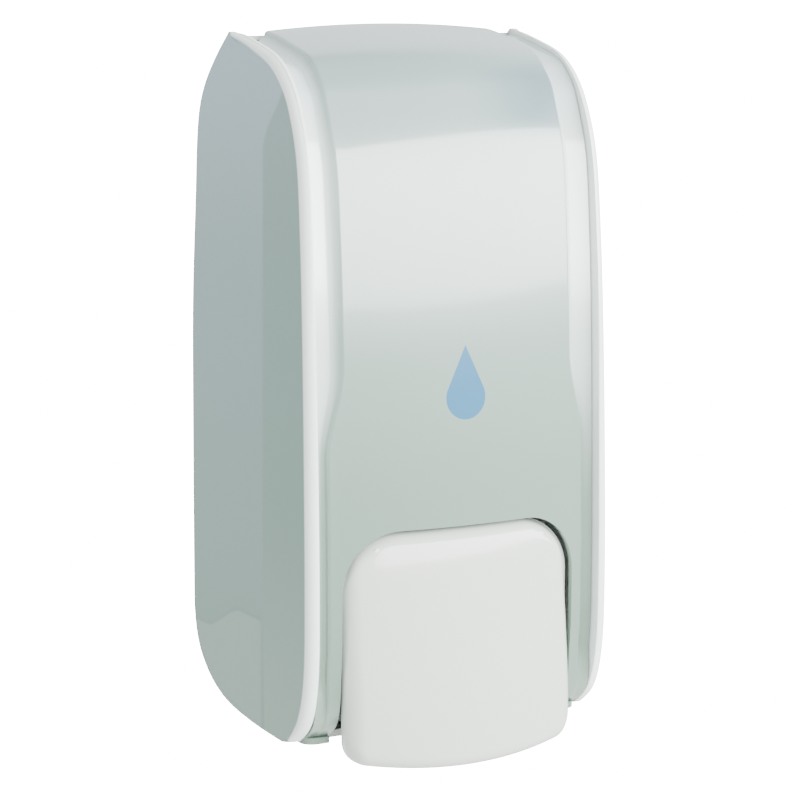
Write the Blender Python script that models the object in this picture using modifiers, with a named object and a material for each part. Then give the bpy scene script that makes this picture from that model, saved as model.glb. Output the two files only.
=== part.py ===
"""Wall-mounted push-lever soap dispenser with a refillable 1-litre reservoir.

Metres, +Z up, front towards -Y, wall plane at y = 0. The origin is the middle of the flat wall face. Inside the
script, depth is the distance from the wall and height is measured from the bottom edge of the side cheeks.
"""

import math

import bmesh
import bpy
from mathutils import Matrix, Vector

MM = 0.001

# Overall form
FACE_HEIGHT = 105 * MM  # the origin's height above the cheeks' bottom edge
CHEEK_HALF_WIDTH = 65.8 * MM  # half the overall width, near the bottom
CHEEK_THICKNESS = 4.5 * MM
CHEEK_TOP_NARROWING = 1.9 * MM  # how far each cheek leans in at the top
CHEEK_INNER_FACE = CHEEK_HALF_WIDTH - CHEEK_THICKNESS
HOUSING_TOP = 270 * MM  # the overall height above the cheeks' bottom edge
STRETCH_FROM = 100  # outlines below this height keep their shape when the housing's top is moved
LIP_RADIUS = 3.5 * MM
STATIONS = 44  # cross-sections along the housing's outlines

# Side outlines, as (depth, height), from the top tip to the bottom
FRONT_EDGE = [(38, 269.7), (46, 268.6), (59, 265.6), (70, 262.9), (76.4, 260.6), (82, 256.6), (90, 248.5), (99.2, 227),
              (102.8, 198), (105.2, 158), (106.8, 105), (107.3, 58), (106, 28), (100.2, 9.5), (90, 1.5)]
REAR_EDGE = [(35, 270), (24.7, 261.8), (14.7, 252.2), (8, 242.5), (5, 230), (3.2, 203), (0.8, 172), (0, 150), (0, 136),
             (0, 50), (0, 36), (3.3, 23), (9, 15.8), (17.5, 9.4), (31, 4.2), (52, 1.3), (72, 0.2), (82, 0)]


def raised(height):
    """A height in millimetres, drawn for a 270 mm housing, moved to suit the housing's top."""
    top = HOUSING_TOP / MM
    return height + max(0, height - STRETCH_FROM) * (top - 270) / (270 - STRETCH_FROM)


def raised_all(points):
    return [(depth, raised(height)) for depth, height in points]


FRONT_EDGE = raised_all(FRONT_EDGE)
REAR_EDGE = raised_all(REAR_EDGE)

# Walls and clearances
WALL = 2.5 * MM
FLOOR = 2.8 * MM
GAP = 0.3 * MM  # between pieces that touch
PARTING_GAP = 0.6 * MM  # between the cover and the cheeks
PIN_CLEARANCE = 0.3 * MM

# Back shell
SHELL_HALF_WIDTH = CHEEK_INNER_FACE - GAP
SHELL_TOP = (33, raised(268.3))
SHELL_SIDE = raised_all([(44, 258), (66, 253), (76, 247.5), (70, 240), (67, 226), (67, 54), (71, 44), (74, 2)])
FLOOR_FRONT = 85.5 * MM
WALL_HOLE_RADIUS = 2.6 * MM
WALL_HOLE_X = 32 * MM
WALL_HOLE_HEIGHTS = (62 * MM, 168 * MM)
NOTCH_CLEARANCE = 0.5 * MM  # beside the cover's feet
NOTCH_REAR = 76.5 * MM
NOZZLE_WINDOW = (20 * MM, 24 * MM)

# Cover
COVER_HALF_WIDTH = CHEEK_INNER_FACE - PARTING_GAP
COVER_WALL = 2.5 * MM
PANEL_UPPER_HALF = CHEEK_INNER_FACE - 11.3 * MM
PANEL_LOWER_HALF = CHEEK_INNER_FACE - 5.3 * MM
WAIST_TOP = 147 * MM
WAIST_BOTTOM = 112 * MM
PANEL_RISE = 3.0 * MM  # the panel's middle, ahead of the lip
PANEL_SAG = 5.6 * MM  # how far the panel falls away PANEL_UPPER_HALF from its middle
PANEL_TOP_SAG = 2.6 * MM
SHOULDER_DROP = 4.6 * MM  # the shoulder's outer edge, behind the lip
SHOULDER_TOP_DROP = 2.2 * MM
SHOULDER_VALLEY = 1.8 * MM
STEP_SLANT_UPPER = 2.4 * MM
STEP_SLANT_LOWER = 0.8 * MM
COVER_HINGE = (88 * MM, 9 * MM)
COVER_FOOT_TOP = 2.8 * MM
COVER_TAIL = (86, 0.4)  # the cover's outline runs on under the lip to this depth and height
LEG_TUCK = 0.1  # the share of the section's relief left at the foot
LEG_TUCK_HEIGHTS = (8 * MM, 30 * MM)
FOOT_REAR = 82 * MM
FOOT_FRONT = 93 * MM
FOOT_CORNER = 5 * MM
COVER_BOTTOM = 0.2 * MM
EAR_INNER = CHEEK_INNER_FACE - 7.1 * MM
EAR_OUTER = CHEEK_INNER_FACE - 3.7 * MM
EAR_RADIUS = 3.7 * MM

# Lever
LEVER_HALF_WIDTH = CHEEK_INNER_FACE - 11.8 * MM
LEVER_TOP = 82.5 * MM
LEVER_BOTTOM = -10.5 * MM
LEVER_TOP_RADIUS = 22 * MM
LEVER_BOTTOM_RADIUS = 8 * MM
LEVER_BOTTOM_SAG = 5 * MM
LEVER_REAR = 101 * MM
LEVER_WALL = 2.5 * MM
LEVER_EDGE_RADIUS = 6 * MM
LEVER_INNER_RADIUS = 1 * MM
LEVER_DOME = 8.4 * MM  # the front's fall from the middle to its sides
LEVER_FRONT = [(-10.5, 116.6), (4, 117), (20, 116.3), (40, 114.4), (58, 112.5), (72, 110.9), (84, 108.9)]  # height, depth
LEVER_GAP = 1.1 * MM
LEVER_PIVOT = (96 * MM, 72 * MM)
PIVOT_PIN_RADIUS = 2 * MM
LEVER_EAR_INNER = 34 * MM
LEVER_EAR_OUTER = 37 * MM
ARM_INNER = 38 * MM
ARM_OUTER = 41.5 * MM
NOSE_RADIUS = 4 * MM
NOSE_HALF_WIDTH = 5 * MM

# Pump
PUMP_HEIGHT = 26 * MM
PUMP_REAR = 48 * MM
PUMP_FRONT = 82.5 * MM  # the end cap's front face
CYLINDER_RADIUS = 11 * MM
BORE_RADIUS = 8.6 * MM
COLLAR_RADIUS = 13.5 * MM
ROD_RADIUS = 4 * MM
PISTON_FRONT = 78 * MM
PISTON_REAR = 72 * MM
SEAL_GROOVE = 6.4 * MM
HEAD_RADIUS = 8 * MM
HEAD_FRONT = 97.9 * MM
HEAD_THICKNESS = 2.5 * MM
PORT_DEPTH = 57 * MM
PORT_RADIUS = 1.9 * MM
NECK_RADIUS = 6.5 * MM
NECK_SHOULDER = (8 * MM, 39 * MM)  # radius, top
NECK_TOP = 44.5 * MM
BALL_RADIUS = 2.2 * MM
CAGE_RADIUS = 4 * MM
CAGE_FLOOR = 38 * MM
CAGE_PORT_X = 2.4 * MM
CAGE_PORT_RADIUS = 1.1 * MM
CAGE_TOP = 43 * MM
SPRING_WIRE = 0.6 * MM
SPRING_RADIUS = 6 * MM
SPRING_TURNS = 6
OUTLET_RADIUS = 5.5 * MM
OUTLET_BOTTOM = 9 * MM
VALVE_SEAT = 15.5 * MM
SPOUT_RADIUS = 4.2 * MM
SPOUT_BORE = 2.7 * MM
SPOUT_PATH = [(57, 14), (57, 4.5), (59, 0.5), (63.5, -3.5), (66.5, -6), (68, -9)]

# Carrier
CARRIER_BOTTOM = 6.3 * MM
CARRIER_TOP = 8.8 * MM
CARRIER_HALF_WIDTH = 44 * MM
CARRIER_REAR = 44 * MM
SADDLE_DEPTH = 66 * MM
CARRIER_FRONT = 86 * MM
CARRIER_SCREWS = [(-34, 50), (34, 50), (-30, 80), (30, 80)]
POST_X = 24 * MM
POST_DEPTH = 53 * MM

# Reservoir
TANK_HALF_WIDTH = CHEEK_INNER_FACE - 10.3 * MM
TANK_WALL = 2 * MM
TANK_TOP = raised(236) * MM
TANK_FLOOR = 46 * MM
TANK_FRONT = 67 * MM
TANK_OUTLINE = raised_all([(6, 36), (26, 38), (44, 46), (67, 46), (67, 222), (70, 230), (77, 236), (19, 236),
                           (9, 222), (6.5, 196)])
TANK_INNER = raised_all([(8, 38), (25.6, 40), (43.5, 48), (65, 48), (65, 222.3), (68.4, 231.4), (78.5, 240),
                         (21, 240), (20.6, 235.4), (10.9, 221.4), (8.5, 195.6)])
SPIGOT_RADIUS = 9.4 * MM
SPIGOT_BORE = 7.9 * MM

# Lock
LOCK_DEPTH = 22 * MM
LOCK_SEAT = raised(247) * MM
LOCK_BOSS_TOP = LOCK_SEAT + 14 * MM
LOCK_NUT_WALL = 2 * MM
BARREL_RADIUS = 6 * MM
BARREL_TOP = LOCK_SEAT + 11.5 * MM
BARREL_BOTTOM = LOCK_SEAT - 3.6 * MM
CAM_TOP = LOCK_SEAT - 4 * MM
CAM_THICKNESS = 2.4 * MM
CAM_REACH = 27.5 * MM
HOOK_TOP = LOCK_SEAT + 3.5 * MM
KEEPER_DEPTH = 44 * MM
KEEPER_THICKNESS = 2.4 * MM
KEEPER_HALF_WIDTH = 4 * MM
KEEPER_BOTTOM = LOCK_SEAT + 0.4 * MM

# Fasteners
CHEEK_SCREW_X = CHEEK_INNER_FACE - 4.8 * MM
CHEEK_SCREW_HEIGHTS = {"lower": 60 * MM, "upper": 160 * MM}
SCREW_RADIUS = 1.5 * MM
SCREW_HEAD_RADIUS = 3.1 * MM
HINGE_PIN_RADIUS = 2 * MM


# Scene and helpers

def clear_scene():
    for obj in list(bpy.data.objects):
        bpy.data.objects.remove(obj, do_unlink=True)


def new_collection(name):
    collection = bpy.data.collections.new(name)
    bpy.context.scene.collection.children.link(collection)
    return collection


def material(name, colour, roughness, metallic=0.0):
    made = bpy.data.materials.new(name)
    made.use_nodes = True
    shader = made.node_tree.nodes["Principled BSDF"]
    shader.inputs["Base Color"].default_value = (*colour, 1.0)
    shader.inputs["Roughness"].default_value = roughness
    shader.inputs["Metallic"].default_value = metallic
    made.diffuse_color = (*colour, 1.0)
    return made


clear_scene()
PARTS = new_collection("wall_soap_dispenser")
CUTTERS = new_collection("cutters")
WALL_FACE = bpy.data.objects.new("wall_face_origin", None)
WALL_FACE.location = (0, 0, -FACE_HEIGHT)
PARTS.objects.link(WALL_FACE)

CHEEK_PLASTIC = material("cheek_gloss_plastic", (0.62, 0.68, 0.69), 0.18)
COVER_PLASTIC = material("cover_frosted_plastic", (0.72, 0.78, 0.76), 0.25)
LEVER_PLASTIC = material("lever_white_plastic", (0.82, 0.84, 0.80), 0.2)
SHELL_PLASTIC = material("shell_white_plastic", (0.75, 0.77, 0.75), 0.4)
CARRIER_PLASTIC = material("carrier_grey_plastic", (0.45, 0.48, 0.5), 0.5)
TANK_PLASTIC = material("natural_polypropylene", (0.8, 0.82, 0.8), 0.4)
PUMP_PLASTIC = material("pump_acetal", (0.85, 0.85, 0.83), 0.3)
RUBBER = material("nitrile_rubber", (0.02, 0.02, 0.02), 0.7)
STEEL = material("zinc_plated_steel", (0.6, 0.6, 0.6), 0.3, 1.0)


def place(x, depth, height):
    return Vector((x, -depth, height))


def add_object(name, mesh, finish=None, origin=(0, 0, 0), smooth=True):
    """Makes the mesh a part, or a hidden helper where it has no finish, with its origin at the given point."""
    mesh.transform(Matrix.Translation(-Vector(origin)))
    obj = bpy.data.objects.new(name, mesh)
    obj.location = origin
    obj.parent = WALL_FACE
    if finish is None:
        CUTTERS.objects.link(obj)
        obj.hide_render = True
        obj.display_type = "WIRE"
    else:
        PARTS.objects.link(obj)
        mesh.materials.append(finish)
        if smooth:
            mesh.shade_smooth()
            mesh.set_sharp_from_angle(angle=math.radians(35))
    return obj


def finish_mesh(name, bm, merge=0.00001):
    bmesh.ops.remove_doubles(bm, verts=bm.verts, dist=merge)
    bmesh.ops.recalc_face_normals(bm, faces=bm.faces)
    mesh = bpy.data.meshes.new(name)
    bm.to_mesh(mesh)
    bm.free()
    return mesh


def combine(target, helper, operation):
    modifier = target.modifiers.new(f"{operation.lower()}_{helper.name}"[:60], "BOOLEAN")
    modifier.operation = operation
    modifier.object = helper
    modifier.solver = "EXACT"


def cut(target, *helpers):
    for helper in helpers:
        combine(target, helper, "DIFFERENCE")


def join(target, *helpers):
    for helper in helpers:
        combine(target, helper, "UNION")


def box_mesh(name, low, high):
    bm = bmesh.new()
    low, high = Vector(low), Vector(high)
    bmesh.ops.create_cube(bm, size=1.0, matrix=Matrix.LocRotScale((low + high) / 2, None, high - low))
    return finish_mesh(name, bm)


def box(name, x, depth, height, finish=None, **options):
    """A block between (low, high) pairs of x, depth and height."""
    mesh = box_mesh(name, (x[0], -depth[1], height[0]), (x[1], -depth[0], height[1]))
    return add_object(name, mesh, finish, **options)


def flat_plate(name, outline, x_low, x_high, finish=None, **options):
    """A plate cut to a side outline of (depth, height) points, between two x planes."""
    curve = outline_curve(name, outline, x_high - x_low)
    upright = Matrix(((0, 0, -1, (x_low + x_high) / 2), (-1, 0, 0, 0), (0, 1, 0, 0), (0, 0, 0, 1)))
    return add_object(name, mesh_from_curve(name, curve, upright), finish, **options)


def front_plate(name, outline, depth_low, depth_high, finish=None, **options):
    """A plate cut to a front outline of (x, height) points, between two depths."""
    curve = outline_curve(name, outline, depth_high - depth_low)
    middle = (depth_low + depth_high) / 2
    upright = Matrix(((1, 0, 0, 0), (0, 0, 1, -middle), (0, 1, 0, 0), (0, 0, 0, 1)))
    return add_object(name, mesh_from_curve(name, curve, upright), finish, **options)


def outline_curve(name, outline, thickness):
    curve = bpy.data.curves.new(name, "CURVE")
    curve.dimensions = "2D"
    curve.fill_mode = "BOTH"
    curve.extrude = thickness / 2
    spline = curve.splines.new("POLY")
    spline.points.add(len(outline) - 1)
    for point, position in zip(spline.points, outline):
        point.co = (*position, 0, 1)
    spline.use_cyclic_u = True
    return curve


def mesh_from_curve(name, curve, matrix=None):
    holder = bpy.data.objects.new(name + "_curve", curve)
    CUTTERS.objects.link(holder)
    graph = bpy.context.evaluated_depsgraph_get()
    graph.update()
    mesh = bpy.data.meshes.new_from_object(holder.evaluated_get(graph))
    bpy.data.objects.remove(holder, do_unlink=True)
    bm = bmesh.new()
    bm.from_mesh(mesh)
    bpy.data.meshes.remove(mesh)
    bmesh.ops.transform(bm, matrix=matrix or Matrix.Identity(4), verts=bm.verts)
    return finish_mesh(name, bm)


def wire(name, points, radius, finish=None, sides=2, **options):
    """A round rod or wire through points, with filled ends."""
    curve = bpy.data.curves.new(name, "CURVE")
    curve.dimensions = "3D"
    curve.bevel_depth = radius
    curve.bevel_resolution = sides
    curve.use_fill_caps = True
    spline = curve.splines.new("POLY")
    spline.points.add(len(points) - 1)
    for point, position in zip(spline.points, points):
        point.co = (*position, 1)
    return add_object(name, mesh_from_curve(name, curve), finish, **options)


TO_FRONT = Matrix(((1, 0, 0, 0), (0, 0, -1, 0), (0, 1, 0, 0), (0, 0, 0, 1)))  # local +Z becomes -Y
TO_RIGHT = Matrix(((0, 0, 1, 0), (0, 1, 0, 0), (-1, 0, 0, 0), (0, 0, 0, 1)))  # local +Z becomes +X
TO_LEFT = Matrix(((0, 0, -1, 0), (0, 1, 0, 0), (1, 0, 0, 0), (0, 0, 0, 1)))  # local +Z becomes -X
UPWARD = Matrix.Identity(4)


def turned(name, profile, position, direction, finish=None, steps=20):
    """A turned piece: the profile of (radius, station) runs down the outer side, around an axis through position.

    A profile that starts off the axis is a ring, so it is closed on itself."""
    bm = bmesh.new()
    verts = [bm.verts.new((radius, 0, station)) for radius, station in profile]
    for first, second in zip(verts, verts[1:]):
        bm.edges.new((first, second))
    if profile[0][0] > 0:
        bm.edges.new((verts[-1], verts[0]))
    mesh = bpy.data.meshes.new(name)
    bm.to_mesh(mesh)
    bm.free()
    obj = add_object(name, mesh, finish, smooth=False)
    screw = obj.modifiers.new("turn", "SCREW")
    screw.steps = steps
    screw.render_steps = steps
    screw.use_merge_vertices = True
    screw.merge_threshold = 0.00002
    screw.use_normal_calculate = False
    screw.use_smooth_shade = False
    obj.matrix_local = Matrix.Translation(position) @ direction
    return obj


def rod(name, radius, low, high, position, direction, finish=None, steps=20):
    """A plain cylinder between two stations of its axis."""
    profile = [(0, high), (radius, high), (radius, low), (0, low)]
    return turned(name, profile, position, direction, finish, steps)


def smooth_path(points, count):
    """count points, evenly spaced along a smooth curve through the given ones, in metres."""
    knots = [Vector(point) * MM for point in points]
    times = [0.0]
    for first, second in zip(knots, knots[1:]):
        times.append(times[-1] + (second - first).length)
    slopes = []
    for i in range(len(knots)):
        low, high = max(i - 1, 0), min(i + 1, len(knots) - 1)
        slopes.append((knots[high] - knots[low]) / (times[high] - times[low]))
    result = []
    segment = 0
    for step in range(count):
        time = times[-1] * step / (count - 1)
        while segment < len(knots) - 2 and time > times[segment + 1]:
            segment += 1
        span = times[segment + 1] - times[segment]
        s = (time - times[segment]) / span
        result.append((2 * s**3 - 3 * s**2 + 1) * knots[segment]
                      + (s**3 - 2 * s**2 + s) * span * slopes[segment]
                      + (3 * s**2 - 2 * s**3) * knots[segment + 1]
                      + (s**3 - s**2) * span * slopes[segment + 1])
    return result


def value_at(points, where):
    """Reads a smooth curve of (where, value) points, given in millimetres, at one place in metres."""
    path = smooth_path(points, 60)
    for first, second in zip(path, path[1:]):
        if where <= second[0]:
            break
    share = (where - first[0]) / (second[0] - first[0])
    return first[1] + (second[1] - first[1]) * share


def inward_normals(path):
    """The direction into the housing at each point of a front outline that runs from top to bottom."""
    normals = []
    for i in range(len(path)):
        along = path[min(i + 1, len(path) - 1)] - path[max(i - 1, 0)]
        normals.append(Vector((along.y, -along.x)).normalized())
    return normals


def grid_of(bm, rows):
    """Adds a grid with one vertex for each point of equal-length rows, and returns its vertices by row."""
    across, down = len(rows[0]), len(rows)
    made = bmesh.ops.create_grid(bm, x_segments=across - 1, y_segments=down - 1, size=1.0)["verts"]
    table = [made[i * across:(i + 1) * across] for i in range(down)]
    for verts, row in zip(table, rows):
        for vert, position in zip(verts, row):
            vert.co = position
    return table


def ring_loft(name, rings):
    """A closed body through equal rings of points, with flat ends."""
    bm = bmesh.new()
    table = grid_of(bm, [[*ring, ring[0]] for ring in rings])
    bmesh.ops.remove_doubles(bm, verts=bm.verts, dist=0.00001)
    bm.edges.ensure_lookup_table()
    bmesh.ops.holes_fill(bm, edges=[edge for edge in bm.edges if edge.is_boundary], sides=0)
    return finish_mesh(name, bm)


def border_of(table):
    """The vertices round the edge of a grid, in order."""
    right = [row[-1] for row in table[1:-1]]
    left = [row[0] for row in reversed(table[1:-1])]
    return [*table[0], *right, *reversed(table[-1]), *left]


def shell_loft(name, outer, inner):
    """A shell between two equal grids of points whose edges are joined all round."""
    bm = bmesh.new()
    outside = border_of(grid_of(bm, outer))
    inside = border_of(grid_of(bm, inner))
    for i, corner in enumerate(outside):
        bm.faces.new((corner, inside[i], inside[i - 1], outside[i - 1]))
    return finish_mesh(name, bm)


def blend(low, high, share):
    share = min(1.0, max(0.0, share))
    return low + (high - low) * share * share * (3 - 2 * share)


# Housing

def cheek_face(height):
    """Half width of the cheeks' outer faces at a height."""
    return CHEEK_HALF_WIDTH - CHEEK_TOP_NARROWING * max(0.0, height / HOUSING_TOP - 0.15) ** 1.6 * 1.3


def make_cheek(side, name):
    front = smooth_path(FRONT_EDGE, STATIONS)
    rear = smooth_path(REAR_EDGE, STATIONS)
    rings = []
    for ahead, behind in zip(front, rear):
        behind.x = max(0.0, behind.x)
        across = ahead - behind
        inward = -across.normalized()
        radius = min(LIP_RADIUS, 0.45 * across.length)
        ring = [(cheek_face(behind.y), behind)]
        for turn in (0, 30, 60, 90):
            angle = math.radians(turn)
            back = radius * (1 - math.sin(angle))
            point = ahead + inward * back
            ring.append((cheek_face(point.y) - radius * (1 - math.cos(angle)), point))
        ring.append((CHEEK_INNER_FACE, ahead))
        ring.append((CHEEK_INNER_FACE, behind))
        rings.append([place(side * x, point.x, point.y) for x, point in ring])
    cheek = add_object(name, ring_loft(name, rings), CHEEK_PLASTIC)
    for level, height in CHEEK_SCREW_HEIGHTS.items():
        x = side * CHEEK_SCREW_X
        reach = sorted((side * (CHEEK_SCREW_X - 4.4 * MM), side * (CHEEK_INNER_FACE + 0.4 * MM)))
        join(cheek, box(f"{name}_{level}_boss", reach, (5.3 * MM, 18 * MM), (height - 5 * MM, height + 5 * MM)))
        cut(cheek, rod(f"{name}_{level}_bore", SCREW_RADIUS + PIN_CLEARANCE, 4 * MM, 15 * MM,
                       place(x, 0, height), TO_FRONT))
    toward = TO_RIGHT if side > 0 else TO_LEFT
    join(cheek, rod(f"{name}_hinge_boss", EAR_RADIUS, EAR_OUTER + 2 * GAP, CHEEK_INNER_FACE + 0.4 * MM,
                    place(0, *COVER_HINGE), toward))
    cut(cheek, rod(f"{name}_hinge_bore", HINGE_PIN_RADIUS + PIN_CLEARANCE, EAR_OUTER - 1 * MM,
                   CHEEK_INNER_FACE + 1.6 * MM, place(0, *COVER_HINGE), toward))
    return cheek


def offset_path(path, distance):
    """The path moved sideways, towards the inside of an outline that runs down the front and up the rear."""
    return [point + normal * distance for point, normal in zip(path, inward_normals(path))]


def shell_outline():
    """The shell's rear face from its top edge down and then forward along the floor."""
    outer = smooth_path([SHELL_TOP, *REAR_EDGE[1:]], STATIONS)
    for point in outer:
        point.x = max(0.0, point.x)
    outer.append(Vector((FLOOR_FRONT, 0.0)))
    return outer


def make_back_shell():
    outer = shell_outline()
    inner = offset_path(outer, -WALL)
    inner[-1] = Vector((FLOOR_FRONT + 20 * MM, FLOOR))
    for point in inner[-4:]:
        point.y = max(point.y, FLOOR)
    sides = [Vector(point) * MM for point in reversed(SHELL_SIDE)]
    shell = flat_plate("back_shell", [*outer, Vector((FLOOR_FRONT, FLOOR)), *sides], -SHELL_HALF_WIDTH,
                       SHELL_HALF_WIDTH, SHELL_PLASTIC)
    hollow = [*inner, Vector((FLOOR_FRONT + 20 * MM, HOUSING_TOP * 1.2)), Vector((60 * MM, HOUSING_TOP * 1.2))]
    cut(shell, flat_plate("shell_hollow", hollow, WALL - SHELL_HALF_WIDTH, SHELL_HALF_WIDTH - WALL))
    # Pads and windows for the cheeks' screws and bosses
    for side, tag in ((-1, "left"), (1, "right")):
        for level, height in CHEEK_SCREW_HEIGHTS.items():
            reach = sorted((side * (CHEEK_SCREW_X - 4.6 * MM), side * (SHELL_HALF_WIDTH - 0.4 * MM)))
            join(shell, box(f"shell_{tag}_{level}_pad", reach, (1.2 * MM, 5 * MM), (height - 5 * MM, height + 5 * MM)))
            window = sorted((side * (CHEEK_SCREW_X - 5 * MM), side * (SHELL_HALF_WIDTH + 1 * MM)))
            cut(shell, box(f"shell_{tag}_{level}_window", window, (5 * MM, 18.4 * MM),
                           (height - 5.4 * MM, height + 5.4 * MM)))
            centre = place(side * CHEEK_SCREW_X, 0, height)
            cut(shell, rod(f"shell_{tag}_{level}_hole", SCREW_RADIUS + PIN_CLEARANCE, -1 * MM, 7 * MM, centre, TO_FRONT))
            cut(shell, rod(f"shell_{tag}_{level}_sink", SCREW_HEAD_RADIUS + PIN_CLEARANCE, -1 * MM, 2.9 * MM,
                           centre, TO_FRONT))
        for height in WALL_HOLE_HEIGHTS:
            cut(shell, rod(f"shell_{tag}_wall_hole_{height / MM:.0f}", WALL_HOLE_RADIUS, -2 * MM, 6 * MM,
                           place(side * WALL_HOLE_X, 0, height), TO_FRONT, steps=16))
        inner = LEVER_HALF_WIDTH + LEVER_GAP - NOTCH_CLEARANCE
        notch = sorted((side * inner, side * (SHELL_HALF_WIDTH + 1 * MM)))
        cut(shell, box(f"shell_{tag}_notch", notch, (NOTCH_REAR, FLOOR_FRONT + 5 * MM), (-2 * MM, 12 * MM)))
    # The floor's window for the spout and its bosses for the carrier
    middle = PORT_DEPTH + 7 * MM
    half_x, half_d = NOZZLE_WINDOW[0] / 2, NOZZLE_WINDOW[1] / 2
    cut(shell, box("shell_spout_window", (-half_x, half_x), (middle - half_d, middle + half_d), (-2 * MM, 5 * MM)))
    for index, (x, depth) in enumerate(CARRIER_SCREWS, 1):
        centre = place(x * MM, depth * MM, 0)
        join(shell, rod(f"shell_carrier_boss_{index}", 4 * MM, 1.4 * MM, CARRIER_BOTTOM - GAP, centre, UPWARD))
        cut(shell, rod(f"shell_carrier_bore_{index}", SCREW_RADIUS + PIN_CLEARANCE, 1.2 * MM, 8 * MM, centre, UPWARD))
    # The lock's seat in the sloping top
    centre = place(0, LOCK_DEPTH, 0)
    join(shell, rod("shell_lock_seat", BARREL_RADIUS + 4 * MM, LOCK_SEAT, LOCK_BOSS_TOP, centre, UPWARD))
    cut(shell, rod("shell_lock_bore", BARREL_RADIUS + PIN_CLEARANCE, LOCK_SEAT - 3 * MM, LOCK_SEAT + 28 * MM, centre, UPWARD))
    return shell


def make_screws():
    for side, tag in ((-1, "left"), (1, "right")):
        for level, height in CHEEK_SCREW_HEIGHTS.items():
            screw(f"cheek_screw_{tag}_{level}", place(side * CHEEK_SCREW_X, 0, height), TO_FRONT, 2.5 * MM, -1)
    for index, (x, depth) in enumerate(CARRIER_SCREWS, 1):
        screw(f"carrier_screw_{index}", place(x * MM, depth * MM, 0), UPWARD, CARRIER_TOP + 0.2 * MM, 1)


def screw(name, position, direction, seat, outward):
    """A pan-head screw whose head starts at the seat and whose shank points the other way."""
    head = seat + outward * 1.9 * MM
    tip = seat - outward * (CARRIER_TOP - 1.6 * MM)
    profile = [(0, head), (SCREW_HEAD_RADIUS - 0.7 * MM, head), (SCREW_HEAD_RADIUS, seat + outward * 1.2 * MM),
               (SCREW_HEAD_RADIUS, seat), (SCREW_RADIUS, seat), (SCREW_RADIUS, tip), (0, tip)]
    if outward < 0:
        profile.reverse()
    return turned(name, profile, position, direction, STEEL, steps=16)


# Cover

def panel_half(height):
    share = (height - WAIST_BOTTOM) / (WAIST_TOP - WAIST_BOTTOM)
    return blend(PANEL_LOWER_HALF, PANEL_UPPER_HALF, share)


def cover_section(height, inset):
    """(x, distance inside the lip) across one section of the cover."""
    toward_top = (height - 235 * MM) / (30 * MM)
    upper = (height - WAIST_BOTTOM) / (WAIST_TOP - WAIST_BOTTOM)
    panel = panel_half(height) - inset
    sag = blend(PANEL_SAG, PANEL_TOP_SAG, toward_top)
    drop = blend(SHOULDER_DROP, SHOULDER_TOP_DROP, toward_top)
    foot = panel + blend(STEP_SLANT_LOWER, STEP_SLANT_UPPER, upper)
    low, high = LEG_TUCK_HEIGHTS
    relief = blend(LEG_TUCK, 1.0, (height - low) / (high - low))
    half = []
    for share in (0.28, 0.55, 0.8, 1.0):
        half.append((panel * share, sag * (panel * share / PANEL_UPPER_HALF) ** 2 - PANEL_RISE))
    half.append((foot, drop + SHOULDER_VALLEY))
    half.append(((foot + COVER_HALF_WIDTH) / 2, drop + SHOULDER_VALLEY * 0.45))
    half.append((COVER_HALF_WIDTH, drop))
    half = [(x, offset * relief) for x, offset in half]
    return [(-x, offset) for x, offset in reversed(half)] + [(0.0, -PANEL_RISE * relief)] + half


def cover_surface(inset, wall):
    path = smooth_path([*FRONT_EDGE, COVER_TAIL], STATIONS)
    normals = inward_normals(path)
    rows = []
    for point, normal in zip(path, normals):
        row = []
        for x, offset in cover_section(point.y, inset):
            spot = point + normal * (offset + wall)
            row.append(place(x, spot.x, max(spot.y, COVER_BOTTOM)))
        rows.append(row)
    return rows


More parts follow.
